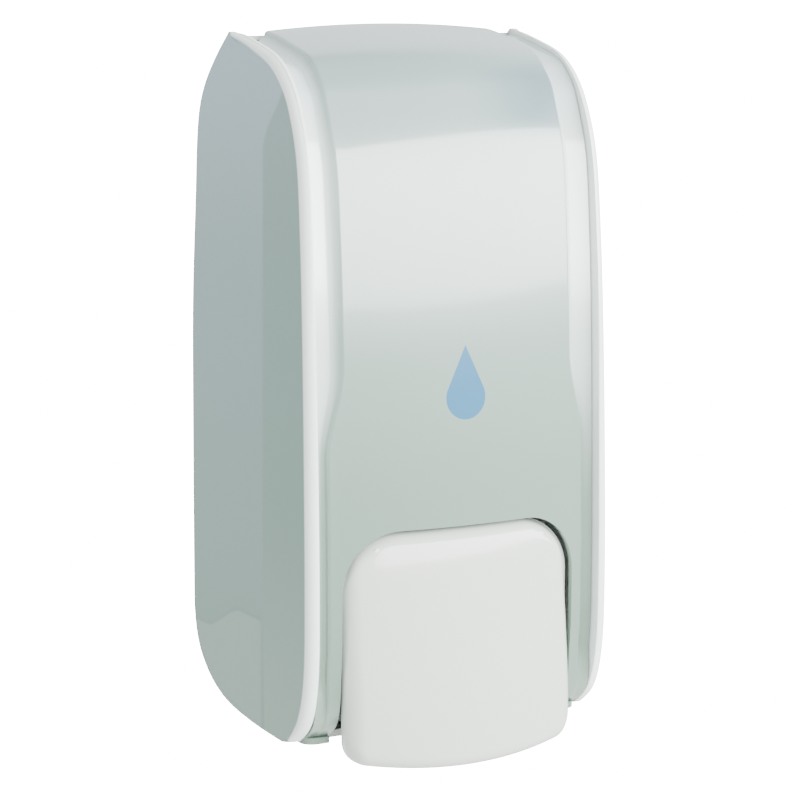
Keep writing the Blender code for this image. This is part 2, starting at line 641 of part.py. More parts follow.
def make_cover():
    origin = place(0, *COVER_HINGE)
    mesh = shell_loft("front_cover", cover_surface(0.0, 0.0), cover_surface(2 * MM, COVER_WALL))
    cover = add_object("front_cover", mesh, COVER_PLASTIC, origin)
    gap_half = LEVER_HALF_WIDTH + LEVER_GAP
    top = LEVER_TOP + LEVER_GAP
    radius = LEVER_TOP_RADIUS + LEVER_GAP
    arch = [(-gap_half, -20 * MM), (gap_half, -20 * MM)]
    for turn in range(0, 91, 10):
        angle = math.radians(turn)
        arch.append((gap_half - radius + radius * math.cos(angle), top - radius + radius * math.sin(angle)))
    for turn in range(90, 181, 10):
        angle = math.radians(turn)
        arch.append((radius - gap_half + radius * math.cos(angle), top - radius + radius * math.sin(angle)))
    cut(cover, front_plate("cover_arch", arch, 60 * MM, 130 * MM))
    for side, tag in ((-1, "left"), (1, "right")):
        outline = [(side * gap_half, FOOT_REAR), (side * COVER_HALF_WIDTH, FOOT_REAR)]
        for turn in range(0, 91, 15):
            angle = math.radians(turn)
            outline.append((side * (COVER_HALF_WIDTH - FOOT_CORNER * (1 - math.cos(angle))),
                            FOOT_FRONT - FOOT_CORNER * (1 - math.sin(angle))))
        outline.append((side * gap_half, FOOT_FRONT))
        join(cover, level_plate(f"cover_{tag}_foot", outline, COVER_BOTTOM, COVER_FOOT_TOP))
        reach = sorted((side * EAR_INNER, side * EAR_OUTER))
        hinge = place(0, *COVER_HINGE)
        toward = TO_RIGHT if side > 0 else TO_LEFT
        join(cover, rod(f"cover_{tag}_ear", EAR_RADIUS, EAR_INNER, EAR_OUTER, hinge, toward))
        join(cover, box(f"cover_{tag}_ear_web", reach, (COVER_HINGE[0], 96.3 * MM), (8.6 * MM, COVER_HINGE[1] + 3.6 * MM)))
        cut(cover, rod(f"cover_{tag}_ear_bore", HINGE_PIN_RADIUS + PIN_CLEARANCE, EAR_INNER - 1 * MM, EAR_OUTER + 1 * MM,
                       hinge, toward))
    join(cover, box("cover_keeper", (-KEEPER_HALF_WIDTH, KEEPER_HALF_WIDTH),
                    (KEEPER_DEPTH, KEEPER_DEPTH + KEEPER_THICKNESS), (KEEPER_BOTTOM, HOUSING_TOP + 0.6 * MM)))
    return cover


def level_plate(name, outline, low, high, finish=None, **options):
    """A plate cut to a plan outline of (x, depth) points, between two heights."""
    curve = outline_curve(name, outline, high - low)
    flat = Matrix(((1, 0, 0, 0), (0, -1, 0, 0), (0, 0, 1, (low + high) / 2), (0, 0, 0, 1)))
    return add_object(name, mesh_from_curve(name, curve, flat), finish, **options)


def make_hinge_pins():
    for tag, toward in (("left", TO_LEFT), ("right", TO_RIGHT)):
        rod(f"cover_hinge_pin_{tag}", HINGE_PIN_RADIUS, EAR_INNER + 0.6 * MM, CHEEK_INNER_FACE + 1.3 * MM,
            place(0, *COVER_HINGE), toward, STEEL, steps=16)


def make_lock():
    centre = place(0, LOCK_DEPTH, 0)
    profile = [(0, BARREL_TOP), (BARREL_RADIUS - 0.6 * MM, BARREL_TOP), (BARREL_RADIUS, BARREL_TOP - 0.6 * MM),
               (BARREL_RADIUS, BARREL_BOTTOM), (0, BARREL_BOTTOM)]
    barrel = turned("lock_barrel", profile, centre, UPWARD, STEEL, steps=24)
    cut(barrel, box("lock_key_slot", (-3.2 * MM, 3.2 * MM), (LOCK_DEPTH - 0.7 * MM, LOCK_DEPTH + 0.7 * MM),
                    (BARREL_TOP - 5 * MM, BARREL_TOP + 1 * MM)))
    nut_profile = [(BARREL_RADIUS + GAP, LOCK_SEAT - GAP), (BARREL_RADIUS + LOCK_NUT_WALL, LOCK_SEAT - GAP),
                   (BARREL_RADIUS + LOCK_NUT_WALL, LOCK_SEAT - 3.3 * MM), (BARREL_RADIUS + GAP, LOCK_SEAT - 3.3 * MM)]
    turned("lock_nut", nut_profile, centre, UPWARD, STEEL, steps=24)
    outline = [(-5 * MM, LOCK_DEPTH - 5 * MM), (-5 * MM, LOCK_DEPTH + 5 * MM), (CAM_REACH, LOCK_DEPTH + 4 * MM),
               (CAM_REACH, LOCK_DEPTH - 4 * MM)]
    cam = level_plate("lock_cam", outline, CAM_TOP - CAM_THICKNESS, CAM_TOP, STEEL, origin=centre)
    join(cam, box("lock_hook", (CAM_REACH - 2.4 * MM, CAM_REACH), (LOCK_DEPTH - 4 * MM, LOCK_DEPTH + 4 * MM),
                  (CAM_TOP - CAM_THICKNESS, HOOK_TOP)))
    return barrel


# Lever

def lever_top(x):
    reach = max(0.0, abs(x) - (LEVER_HALF_WIDTH - LEVER_TOP_RADIUS))
    return LEVER_TOP - LEVER_TOP_RADIUS + math.sqrt(max(0.0, LEVER_TOP_RADIUS**2 - reach**2))


def lever_bottom(x):
    reach = max(0.0, abs(x) - (LEVER_HALF_WIDTH - LEVER_BOTTOM_RADIUS))
    corner = LEVER_BOTTOM_RADIUS - math.sqrt(max(0.0, LEVER_BOTTOM_RADIUS**2 - reach**2))
    return LEVER_BOTTOM + LEVER_BOTTOM_SAG * (x / LEVER_HALF_WIDTH) ** 2 + corner


def lever_surface(inset):
    """A grid over the lever's front whose outermost points lie on its rear rim."""
    half_width = LEVER_HALF_WIDTH - inset
    shares = (0.0, 0.2, 0.4, 0.57, 0.7, 0.8, 0.88, 0.935, 0.975, 1.0, 1.0)
    columns = [-share for share in reversed(shares[1:])] + list(shares)
    rises = (0.0, 0.0, 0.02, 0.05, 0.1, 0.2, 0.35, 0.5, 0.65, 0.8, 0.9, 0.95, 0.98, 1.0, 1.0)
    rows = []
    for level, rise in enumerate(rises):
        row = []
        for index, column in enumerate(columns):
            x = column * half_width
            wide = column * LEVER_HALF_WIDTH
            low, high = lever_bottom(wide) + inset, lever_top(wide) - inset
            height = low + (high - low) * rise
            front = value_at(LEVER_FRONT, height) - LEVER_DOME * column**2 - inset
            margin = min(half_width - abs(x), height - low, high - height)
            radius = LEVER_INNER_RADIUS if inset else LEVER_EDGE_RADIUS
            short = radius - min(radius, margin)
            front -= radius - math.sqrt(radius**2 - short**2)
            on_rim = level in (0, len(rises) - 1) or index in (0, len(columns) - 1)
            row.append(place(x, LEVER_REAR if on_rim else front, height))
        rows.append(row)
    return rows


def make_lever():
    pivot = place(0, *LEVER_PIVOT)
    mesh = shell_loft("push_lever", lever_surface(0.0), lever_surface(LEVER_WALL))
    lever = add_object("push_lever", mesh, LEVER_PLASTIC, pivot)
    nose_depth = HEAD_FRONT + GAP + NOSE_RADIUS
    join(lever, rod("lever_nose", NOSE_RADIUS, -NOSE_HALF_WIDTH, NOSE_HALF_WIDTH,
                    place(0, nose_depth, PUMP_HEIGHT), TO_RIGHT))
    join(lever, box("lever_rib", (-NOSE_HALF_WIDTH + 1 * MM, NOSE_HALF_WIDTH - 1 * MM), (nose_depth, 114.6 * MM),
                    (PUMP_HEIGHT - 3 * MM, PUMP_HEIGHT + 3 * MM)))
    for toward, side, tag in ((TO_LEFT, -1, "left"), (TO_RIGHT, 1, "right")):
        join(lever, rod(f"lever_{tag}_ear", PIVOT_PIN_RADIUS + 3 * MM, LEVER_EAR_INNER, LEVER_EAR_OUTER, pivot, toward))
        reach = sorted((side * LEVER_EAR_INNER, side * LEVER_EAR_OUTER))
        join(lever, box(f"lever_{tag}_web", reach, (LEVER_PIVOT[0], 105.4 * MM),
                        (LEVER_PIVOT[1] - 5 * MM, LEVER_PIVOT[1] + 5 * MM)))
        cut(lever, rod(f"lever_{tag}_bore", PIVOT_PIN_RADIUS + PIN_CLEARANCE, LEVER_EAR_INNER - 1 * MM,
                       LEVER_EAR_OUTER + 1 * MM, pivot, toward))
    return lever


# Carrier and pump

def make_carrier():
    carrier = box("pump_carrier", (-CARRIER_HALF_WIDTH, CARRIER_HALF_WIDTH), (CARRIER_REAR, CARRIER_FRONT),
                  (CARRIER_BOTTOM, CARRIER_TOP), CARRIER_PLASTIC)
    arm = [(64, 7), (85, 7), (90, 30), (92, 60), (100, 68), (100, 76), (90, 77), (84, 66), (78, 36)]
    arm = [(depth * MM, height * MM) for depth, height in arm]
    for toward, side, tag in ((TO_LEFT, -1, "left"), (TO_RIGHT, 1, "right")):
        near, far = sorted((side * ARM_INNER, side * ARM_OUTER))
        join(carrier, flat_plate(f"carrier_{tag}_arm", arm, near, far))
        cut(carrier, rod(f"carrier_{tag}_bore", PIVOT_PIN_RADIUS + PIN_CLEARANCE, ARM_INNER - 1 * MM, ARM_OUTER + 1 * MM,
                         place(0, *LEVER_PIVOT), toward))
        join(carrier, rod(f"carrier_{tag}_post", 4 * MM, CARRIER_TOP - 1 * MM, TANK_FLOOR - GAP,
                          place(side * POST_X, POST_DEPTH, 0), UPWARD))
    join(carrier, box("carrier_saddle", (-17 * MM, 17 * MM), (SADDLE_DEPTH, SADDLE_DEPTH + WALL),
                      (CARRIER_TOP - 1 * MM, PUMP_HEIGHT + 8 * MM)))
    axis = place(0, 0, PUMP_HEIGHT)
    seat = CYLINDER_RADIUS + PIN_CLEARANCE
    cut(carrier, rod("carrier_saddle_bore", seat, SADDLE_DEPTH - 1 * MM, SADDLE_DEPTH + WALL + 1 * MM, axis, TO_FRONT,
                     steps=30))
    cut(carrier, box("carrier_saddle_mouth", (-seat, seat), (SADDLE_DEPTH - 1 * MM, SADDLE_DEPTH + WALL + 1 * MM),
                     (PUMP_HEIGHT, PUMP_HEIGHT + 20 * MM)))
    cut(carrier, rod("carrier_spout_hole", SPOUT_RADIUS + 2 * GAP, 2 * MM, CARRIER_TOP + 4 * MM,
                     place(0, PORT_DEPTH, 0), UPWARD))
    for index, (x, depth) in enumerate(CARRIER_SCREWS, 1):
        cut(carrier, rod(f"carrier_hole_{index}", SCREW_RADIUS + PIN_CLEARANCE, CARRIER_BOTTOM - 2 * MM,
                         CARRIER_TOP + 2 * MM, place(x * MM, depth * MM, 0), UPWARD))
    return carrier


def make_pivot():
    axis = place(0, *LEVER_PIVOT)
    groove = PIVOT_PIN_RADIUS - 0.5 * MM
    low, high = ARM_OUTER + GAP, ARM_OUTER + GAP + 1.2 * MM
    end = high + 1.2 * MM
    half = [(0, end), (PIVOT_PIN_RADIUS, end), (PIVOT_PIN_RADIUS, high), (groove, high), (groove, low),
            (PIVOT_PIN_RADIUS, low)]
    other = [(radius, -station) for radius, station in reversed(half)]
    turned("lever_pivot_rod", half + other, axis, TO_RIGHT, STEEL, steps=16)
    for tag, toward in (("left", TO_LEFT), ("right", TO_RIGHT)):
        ring = [(groove + 0.15 * MM, high - 0.2 * MM), (groove + 2.6 * MM, high - 0.2 * MM),
                (groove + 2.6 * MM, low + 0.2 * MM), (groove + 0.15 * MM, low + 0.2 * MM)]
        turned(f"pivot_ring_{tag}", ring, axis, toward, STEEL, steps=16)


def make_pump():
    axis = place(0, 0, PUMP_HEIGHT)
    port = place(0, PORT_DEPTH, 0)
    cap_rear = PUMP_FRONT - 8.5 * MM
    body_front = PUMP_FRONT - 2.5 * MM
    body = rod("pump_body", CYLINDER_RADIUS, PUMP_REAR, body_front, axis, TO_FRONT, PUMP_PLASTIC, 30)
    join(body, rod("pump_collar", COLLAR_RADIUS, SADDLE_DEPTH + WALL + GAP, SADDLE_DEPTH + 2 * WALL + GAP, axis, TO_FRONT,
                   steps=30))
    neck = [(0, NECK_TOP), (NECK_RADIUS, NECK_TOP), (NECK_RADIUS, NECK_SHOULDER[1]), (NECK_SHOULDER[0], NECK_SHOULDER[1]),
            (NECK_SHOULDER[0], PUMP_HEIGHT + 1 * MM), (0, PUMP_HEIGHT + 1 * MM)]
    join(body, turned("pump_neck", neck, port, UPWARD, steps=24))
    join(body, rod("pump_outlet", OUTLET_RADIUS, OUTLET_BOTTOM, PUMP_HEIGHT - 1.3 * MM, port, UPWARD))
    cut(body, rod("pump_bore", BORE_RADIUS, PUMP_REAR + WALL, PUMP_FRONT + 1 * MM, axis, TO_FRONT, steps=30))
    inlet = [(0, NECK_TOP + 1 * MM), (PORT_RADIUS, NECK_TOP + 1 * MM), (PORT_RADIUS, CAGE_TOP), (CAGE_RADIUS, CAGE_TOP),
             (CAGE_RADIUS, CAGE_FLOOR), (0, CAGE_FLOOR)]
    cut(body, turned("pump_inlet", inlet, port, UPWARD, steps=18))
    for side, tag in ((-1, "left"), (1, "right")):
        cut(body, rod(f"pump_{tag}_port", CAGE_PORT_RADIUS, PUMP_HEIGHT + 4 * MM, CAGE_FLOOR + 1 * MM,
                      place(side * CAGE_PORT_X, PORT_DEPTH, 0), UPWARD, steps=12))
    socket = SPOUT_RADIUS + GAP
    outlet = [(0, PUMP_HEIGHT - 4 * MM), (PORT_RADIUS, PUMP_HEIGHT - 4 * MM), (PORT_RADIUS, VALVE_SEAT),
              (socket, VALVE_SEAT), (socket, OUTLET_BOTTOM - 1 * MM), (0, OUTLET_BOTTOM - 1 * MM)]
    cut(body, turned("pump_outlet_bore", outlet, port, UPWARD, steps=18))
    hole = ROD_RADIUS + PIN_CLEARANCE
    skirt = CYLINDER_RADIUS + GAP
    cap = [(hole, PUMP_FRONT), (skirt + 1.6 * MM, PUMP_FRONT), (skirt + 2.2 * MM, PUMP_FRONT - 0.6 * MM),
           (skirt + 2.2 * MM, cap_rear), (skirt, cap_rear), (skirt, body_front + GAP), (hole, body_front + GAP)]
    turned("pump_end_cap", cap, axis, TO_FRONT, PUMP_PLASTIC, steps=30)
    head_rear = HEAD_FRONT - HEAD_THICKNESS
    piston_radius = BORE_RADIUS - PIN_CLEARANCE
    seal_front = PISTON_FRONT - 2 * MM
    seal_rear = PISTON_REAR + 2 * MM
    piston = [(0, HEAD_FRONT), (HEAD_RADIUS, HEAD_FRONT), (HEAD_RADIUS, head_rear), (ROD_RADIUS, head_rear),
              (ROD_RADIUS, PISTON_FRONT), (piston_radius, PISTON_FRONT), (piston_radius, seal_front),
              (SEAL_GROOVE, seal_front), (SEAL_GROOVE, seal_rear), (piston_radius, seal_rear),
              (piston_radius, PISTON_REAR), (0, PISTON_REAR)]
    turned("pump_piston", piston, axis, TO_FRONT, PUMP_PLASTIC, steps=30)
    seal = [(SEAL_GROOVE + 0.15 * MM, seal_front - 0.2 * MM), (BORE_RADIUS - 0.1 * MM, seal_front - 0.2 * MM),
            (BORE_RADIUS - 0.1 * MM, seal_rear + 0.2 * MM), (SEAL_GROOVE + 0.15 * MM, seal_rear + 0.2 * MM)]
    turned("piston_seal", seal, axis, TO_FRONT, RUBBER, steps=30)
    coil(PUMP_FRONT + GAP + SPRING_WIRE, head_rear - GAP - SPRING_WIRE)
    ball_centre = CAGE_FLOOR + BALL_RADIUS + 0.1 * MM
    bm = bmesh.new()
    bmesh.ops.create_uvsphere(bm, u_segments=16, v_segments=10, radius=BALL_RADIUS,
                              matrix=Matrix.Translation(place(0, PORT_DEPTH, ball_centre)))
    add_object("inlet_ball", finish_mesh("inlet_ball", bm), STEEL)
    make_outlet(port)


def coil(rear, front):
    count = SPRING_TURNS * 12
    points = []
    for i in range(count + 1):
        share = i / count
        rest = min(1.0, max(0.0, (share - 0.08) / 0.84))
        angle = math.tau * SPRING_TURNS * share
        points.append(place(SPRING_RADIUS * math.cos(angle), rear + (front - rear) * rest,
                            PUMP_HEIGHT + SPRING_RADIUS * math.sin(angle)))
    return wire("pump_spring", points, SPRING_WIRE, STEEL)


def make_outlet(port):
    """The soft duckbill valve and the curved spout under it."""
    bore = SPOUT_BORE - 0.3 * MM
    flange = VALVE_SEAT - 0.3 * MM
    valve = [(0.5 * MM, flange), (SPOUT_RADIUS - 0.2 * MM, flange), (SPOUT_RADIUS - 0.2 * MM, flange - 0.9 * MM),
             (bore, flange - 0.9 * MM), (1.1 * MM, flange - 6 * MM), (0.5 * MM, flange - 6 * MM)]
    turned("outlet_valve", valve, port, UPWARD, RUBBER, steps=16)
    path = [place(0, depth * MM, height * MM) for depth, height in SPOUT_PATH]
    spout = wire("spout", path, SPOUT_RADIUS, PUMP_PLASTIC, sides=3)
    start, end = path[0] - path[1], path[-1] - path[-2]
    through = [path[0] + start.normalized() * MM, *path, path[-1] + end.normalized() * MM]
    cut(spout, wire("spout_bore", through, SPOUT_BORE, sides=3))
    return spout


# Reservoir

def make_reservoir():
    outline = [Vector(point) * MM for point in TANK_OUTLINE]
    inner_outline = [Vector(point) * MM for point in TANK_INNER]
    tank = flat_plate("reservoir", outline, -TANK_HALF_WIDTH, TANK_HALF_WIDTH, TANK_PLASTIC)
    inner_half = TANK_HALF_WIDTH - TANK_WALL
    port = place(0, PORT_DEPTH, 0)
    spigot_bottom = NECK_SHOULDER[1] + GAP
    join(tank, rod("tank_spigot", SPIGOT_RADIUS, spigot_bottom, TANK_FLOOR + 1 * MM, port, UPWARD, steps=24))
    cut(tank, flat_plate("tank_hollow", inner_outline, -inner_half, inner_half))
    socket_top = NECK_TOP + GAP
    socket = [(0, TANK_FLOOR + 5 * MM), (4 * MM, TANK_FLOOR + 5 * MM), (4 * MM, socket_top), (SPIGOT_BORE, socket_top),
              (SPIGOT_BORE, spigot_bottom - 1 * MM), (0, spigot_bottom - 1 * MM)]
    cut(tank, turned("tank_socket", socket, port, UPWARD, steps=26))
    gasket = [(NECK_RADIUS + 0.2 * MM, 43.6 * MM), (SPIGOT_BORE - 0.2 * MM, 43.6 * MM),
              (SPIGOT_BORE - 0.2 * MM, 40 * MM), (NECK_RADIUS + 0.2 * MM, 40 * MM)]
    turned("spigot_gasket", gasket, port, UPWARD, RUBBER, steps=24)
    lid = box("reservoir_lid", (-TANK_HALF_WIDTH, TANK_HALF_WIDTH), (19 * MM, 77 * MM),
              (TANK_TOP + GAP, TANK_TOP + GAP + 1.8 * MM), TANK_PLASTIC)
    join(lid, box("lid_plug", (-inner_half + GAP, inner_half - GAP), (22 * MM, 68 * MM),
                  (TANK_TOP - 2.5 * MM, TANK_TOP + 1 * MM)))
    join(lid, box("lid_tab", (-12 * MM, 12 * MM), (76 * MM, 80 * MM), (TANK_TOP + GAP, TANK_TOP + GAP + 1.8 * MM)))
    return tank


make_back_shell()
make_cheek(-1, "left_cheek")
make_cheek(1, "right_cheek")
make_screws()
make_cover()
make_hinge_pins()
make_lock()
make_lever()
make_carrier()
make_pivot()
make_pump()
make_reservoir()
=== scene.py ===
import math

import bmesh
import bpy
from mathutils import Matrix, Vector, kdtree


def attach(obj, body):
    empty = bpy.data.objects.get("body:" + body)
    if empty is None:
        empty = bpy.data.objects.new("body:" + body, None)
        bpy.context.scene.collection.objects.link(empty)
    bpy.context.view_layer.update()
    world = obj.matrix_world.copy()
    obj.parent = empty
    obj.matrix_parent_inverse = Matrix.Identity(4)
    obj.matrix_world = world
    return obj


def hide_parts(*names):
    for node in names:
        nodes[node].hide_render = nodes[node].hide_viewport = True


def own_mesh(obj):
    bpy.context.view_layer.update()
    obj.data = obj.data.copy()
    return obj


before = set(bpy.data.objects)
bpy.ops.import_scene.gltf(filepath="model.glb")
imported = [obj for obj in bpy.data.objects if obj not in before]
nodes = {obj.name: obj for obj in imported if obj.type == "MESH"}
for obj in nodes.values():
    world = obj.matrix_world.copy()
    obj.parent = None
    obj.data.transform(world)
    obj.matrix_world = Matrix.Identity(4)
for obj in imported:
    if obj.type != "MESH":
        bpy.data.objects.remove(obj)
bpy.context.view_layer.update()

MM = 0.001

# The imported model's own sizes, in metres. Depth is measured from the wall and height from the cheeks' bottom edge.
FACE_HEIGHT = 105 * MM
HOUSING_TOP = 270 * MM
WALL = 2.5 * MM
PIN_HOLE = 2.3 * MM
UNSEEN = 0.4 * MM  # how far a joined piece reaches into the one it joins
MERGE_DISTANCE = 0.004 * MM
CREASE_ANGLE = math.radians(32)

# Cheeks
CHEEK_HALF_WIDTH = 65.8 * MM
CHEEK_INNER_FACE = 61.3 * MM
CHEEK_TOP_NARROWING = 1.9 * MM
CHEEK_STATIONS = 150
LIP_RADIUS = 3.5 * MM
REAR_EDGE_RADIUS = 0.5 * MM
INNER_EDGE_RADIUS = 0.6 * MM
LIP_STEPS = (5.2, 3.4, 2.2, 1.4, 0.8, 0.3)  # millimetres behind the lip's rounding
FRONT_EDGE = [(38, 269.7), (46, 268.6), (59, 265.6), (70, 262.9), (76.4, 260.6), (82, 256.6), (90, 248.5),
              (99.2, 227), (102.8, 198), (105.2, 158), (106.8, 105), (107.3, 58), (106, 28), (100.2, 9.5), (90, 1.5)]
REAR_EDGE = [(35, 270), (24.7, 261.8), (14.7, 252.2), (8, 242.5), (5, 230), (3.2, 203), (0.8, 172), (0, 150),
             (0, 136), (0, 50), (0, 36), (3.3, 23), (9, 15.8), (17.5, 9.4), (31, 4.2), (52, 1.3), (72, 0.2), (82, 0)]
CHEEK_SCREW_X = 56.5 * MM
CHEEK_SCREW_HEIGHTS = (60 * MM, 160 * MM)
SCREW_BOSS_REACH = 4.4 * MM
SCREW_BOSS_DEPTHS = (5.3 * MM, 18 * MM)
SCREW_BOSS_HALF_HEIGHT = 5 * MM
SCREW_BORE_RADIUS = 1.8 * MM
SCREW_BORE_DEPTHS = (4 * MM, 15 * MM)
HINGE_BOSS_FACES = (58.2, 61.7)  # in millimetres from the middle, as are the three below
HINGE_BORE_FACES = (56.6, 62.9)
EAR_FACES = (54.2, 57.6)
EAR_BORE_FACES = (53.2, 58.6)

# Cover
COVER_HALF_WIDTH = 60.7 * MM
COVER_BOTTOM = 0.2 * MM
COVER_STATIONS = 240
COVER_TAIL = (86, 0.4)
COVER_HINGE = (88 * MM, 9 * MM)
PANEL_UPPER_HALF = 50 * MM
PANEL_LOWER_HALF = 56 * MM
WAIST_BOTTOM = 112 * MM
WAIST_TOP = 147 * MM
PANEL_RISE = 3 * MM
PANEL_SAG = (5.6 * MM, 2.6 * MM)  # on the front and at the top
SHOULDER_DROP = (4.6 * MM, 2.2 * MM)
SHOULDER_VALLEY = 1.8 * MM
STEP_SLANT = (0.8 * MM, 2.4 * MM)  # under the waist and above it
PANEL_EDGE_RADIUS = 1.6 * MM
TOP_BEND = (235 * MM, 265 * MM)
LEG_TUCK = 0.1  # the share of the section's relief left at the foot
LEG_TUCK_HEIGHTS = (8 * MM, 30 * MM)
EAR_RADIUS = 3.7 * MM
EAR_WEB_FRONT = 96.3 * MM
EAR_WEB_HEIGHTS = (8.6 * MM, 12.6 * MM)
FOOT_REAR = 82 * MM
FOOT_FRONT = 93 * MM
FOOT_CORNER = 5 * MM
FOOT_HEIGHT = 2.6 * MM
KEEPER_HALF_WIDTH = 4 * MM
KEEPER_DEPTHS = (44 * MM, 46.4 * MM)
KEEPER_HEIGHTS = (247.4 * MM, HOUSING_TOP + 0.6 * MM)

# Lever
LEVER_FRONT = [(-10.5, 116.6), (4, 117), (20, 116.3), (40, 114.4), (58, 112.5), (72, 110.9), (84, 108.9)]
LEVER_HALF_WIDTH = 49.5 * MM
LEVER_TOP = 82.5 * MM
LEVER_TOP_RADIUS = 22 * MM
LEVER_BOTTOM = -10.5 * MM
LEVER_BOTTOM_RADIUS = 8 * MM
LEVER_BOTTOM_SAG = 5 * MM
LEVER_REAR = 101 * MM
LEVER_DOME = 8.4 * MM
LEVER_EDGE_RADIUS = 6 * MM
LEVER_INNER_RADIUS = 1 * MM
LEVER_GAP = 1.1 * MM
LEVER_PIVOT = (96 * MM, 72 * MM)
LEVER_EAR_FACES = (34 * MM, 37 * MM)
LEVER_EAR_RADIUS = 5 * MM
LEVER_WEB_FRONT = 105.4 * MM
LEVER_WEB_HEIGHTS = (67 * MM, 77 * MM)
LEVER_NOSE = (102.2 * MM, 26 * MM)
NOSE_RADIUS = 4 * MM
NOSE_HALF_WIDTH = 5 * MM
RIB_HALF_WIDTH = 4 * MM
RIB_FRONT = 114.6 * MM
RIB_HEIGHTS = (23 * MM, 29 * MM)


# Shapes

def place(x, depth, height):
    """A point of the frame, from its depth in front of the wall and its height above the cheeks' bottom edge."""
    return Vector((x, -depth, height - FACE_HEIGHT))


def smooth_path(points, count):
    """count points, evenly spaced along a smooth curve through points given in millimetres."""
    knots = [Vector(point) * MM for point in points]
    times = [0.0]
    for first, second in zip(knots, knots[1:]):
        times.append(times[-1] + (second - first).length)
    slopes = []
    for i in range(len(knots)):
        low, high = max(i - 1, 0), min(i + 1, len(knots) - 1)
        slopes.append((knots[high] - knots[low]) / (times[high] - times[low]))
    result = []
    segment = 0
    for step in range(count):
        time = times[-1] * step / (count - 1)
        while segment < len(knots) - 2 and time > times[segment + 1]:
            segment += 1
        span = times[segment + 1] - times[segment]
        s = (time - times[segment]) / span
        result.append((2 * s**3 - 3 * s**2 + 1) * knots[segment]
                      + (s**3 - 2 * s**2 + s) * span * slopes[segment]
                      + (3 * s**2 - 2 * s**3) * knots[segment + 1]
                      + (s**3 - s**2) * span * slopes[segment + 1])
    return result


def relaxed(path, rounds):
    """The path with its small waves smoothed out and its ends held."""
    for _ in range(rounds):
        path = [path[0]] + [(a + b * 2 + c) / 4 for a, b, c in zip(path, path[1:], path[2:])] + [path[-1]]
    return path


def inward_normals(path):
    """One unit vector a point, at right angles to the path and toward the inside of the dispenser."""
    normals = []
    for i in range(len(path)):
        along = path[min(i + 1, len(path) - 1)] - path[max(i - 1, 0)]
        normals.append(Vector((along.y, -along.x)).normalized())
    return normals


def blend(low, high, share):
    """From low to high as share goes from 0 to 1, with a smooth start and end."""
    share = min(1.0, max(0.0, share))
    return low + (high - low) * share * share * (3 - 2 * share)


def value_at(path, where):
    """The path's second coordinate at the place where its first one reaches a value."""
    for first, second in zip(path, path[1:]):
        if where <= second[0]:
            break
    share = (where - first[0]) / (second[0] - first[0])
    return first[1] + (second[1] - first[1]) * share


def grid_of(bm, rows):
    """Adds a grid of faces through rows of points and returns its vertices in the same rows."""
    across, down = len(rows[0]), len(rows)
    made = bmesh.ops.create_grid(bm, x_segments=across - 1, y_segments=down - 1, size=1.0)["verts"]
    table = [made[i * across:(i + 1) * across] for i in range(down)]
    for verts, row in zip(table, rows):
        for vert, position in zip(verts, row):
            vert.co = position
    return table


def border_of(table):
    """The grid's outermost vertices, once round."""
    right = [row[-1] for row in table[1:-1]]
    left = [row[0] for row in reversed(table[1:-1])]
    return [*table[0], *right, *reversed(table[-1]), *left]


def finished(name, mesh, body, slot, finish, *replaced):
    """Adds the mesh as a piece that rides on a body and stands for the named nodes."""
    mesh.materials.clear()
    mesh.materials.append(finish)
    mesh.shade_smooth()
    mesh.set_sharp_from_angle(angle=CREASE_ANGLE)
    obj = bpy.data.objects.new(name, mesh)
    bpy.context.scene.collection.objects.link(obj)
    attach(obj, body)
    if replaced:
        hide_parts(*replaced)


def helper_object(name, bm):
    """An object for a Boolean, which carved() removes again."""
    bmesh.ops.remove_doubles(bm, verts=bm.verts, dist=MERGE_DISTANCE)
    bmesh.ops.recalc_face_normals(bm, faces=bm.faces)
    mesh = bpy.data.meshes.new(name)
    bm.to_mesh(mesh)
    bm.free()
    obj = bpy.data.objects.new(name, mesh)
    bpy.context.scene.collection.objects.link(obj)
    return obj


def box_helper(name, x, depth, height):
    """A box from pairs of limits."""
    bm = bmesh.new()
    low, high = place(x[0], depth[1], height[0]), place(x[1], depth[0], height[1])
    bmesh.ops.create_cube(bm, size=1.0, matrix=Matrix.LocRotScale((low + high) / 2, None, high - low))
    return helper_object(name, bm)


def rod_helper(name, radius, start, end, sides=48):
    bm = bmesh.new()
    turn = (end - start).to_track_quat("Z", "Y")
    bmesh.ops.create_cone(bm, cap_ends=True, segments=sides, radius1=radius, radius2=radius,
                          depth=(end - start).length, matrix=Matrix.LocRotScale((start + end) / 2, turn, None))
    return helper_object(name, bm)


def prism_helper(name, outline, offset):
    """A solid with the outline as its end face, drawn out by the offset."""
    bm = bmesh.new()
    face = bm.faces.new([bm.verts.new(point) for point in outline])
    drawn = bmesh.ops.extrude_face_region(bm, geom=[face])
    bmesh.ops.translate(bm, vec=offset, verts=[v for v in drawn["geom"] if isinstance(v, bmesh.types.BMVert)])
    return helper_object(name, bm)


def carved(name, bm, steps):
    """The mesh after a list of (operation, helper) Booleans."""
    base = helper_object(name + "_base", bm)
    for number, (operation, helper) in enumerate(steps):
        modifier = base.modifiers.new(f"step_{number}", "BOOLEAN")
        modifier.operation = operation
        modifier.object = helper
        modifier.solver = "EXACT"
    graph = bpy.context.evaluated_depsgraph_get()
    graph.update()
    mesh = bpy.data.meshes.new_from_object(base.evaluated_get(graph))
    mesh.name = name
    for obj in [base, *(helper for _, helper in steps)]:
        bpy.data.objects.remove(obj, do_unlink=True)
    return mesh


# Finishes

def linear(code):
    """An sRGB hex colour as linear RGBA."""
    channels = [int(code[i:i + 2], 16) / 255 for i in (0, 2, 4)]
    return (*(c / 12.92 if c <= 0.04045 else ((c + 0.055) / 1.055) ** 2.4 for c in channels), 1.0)


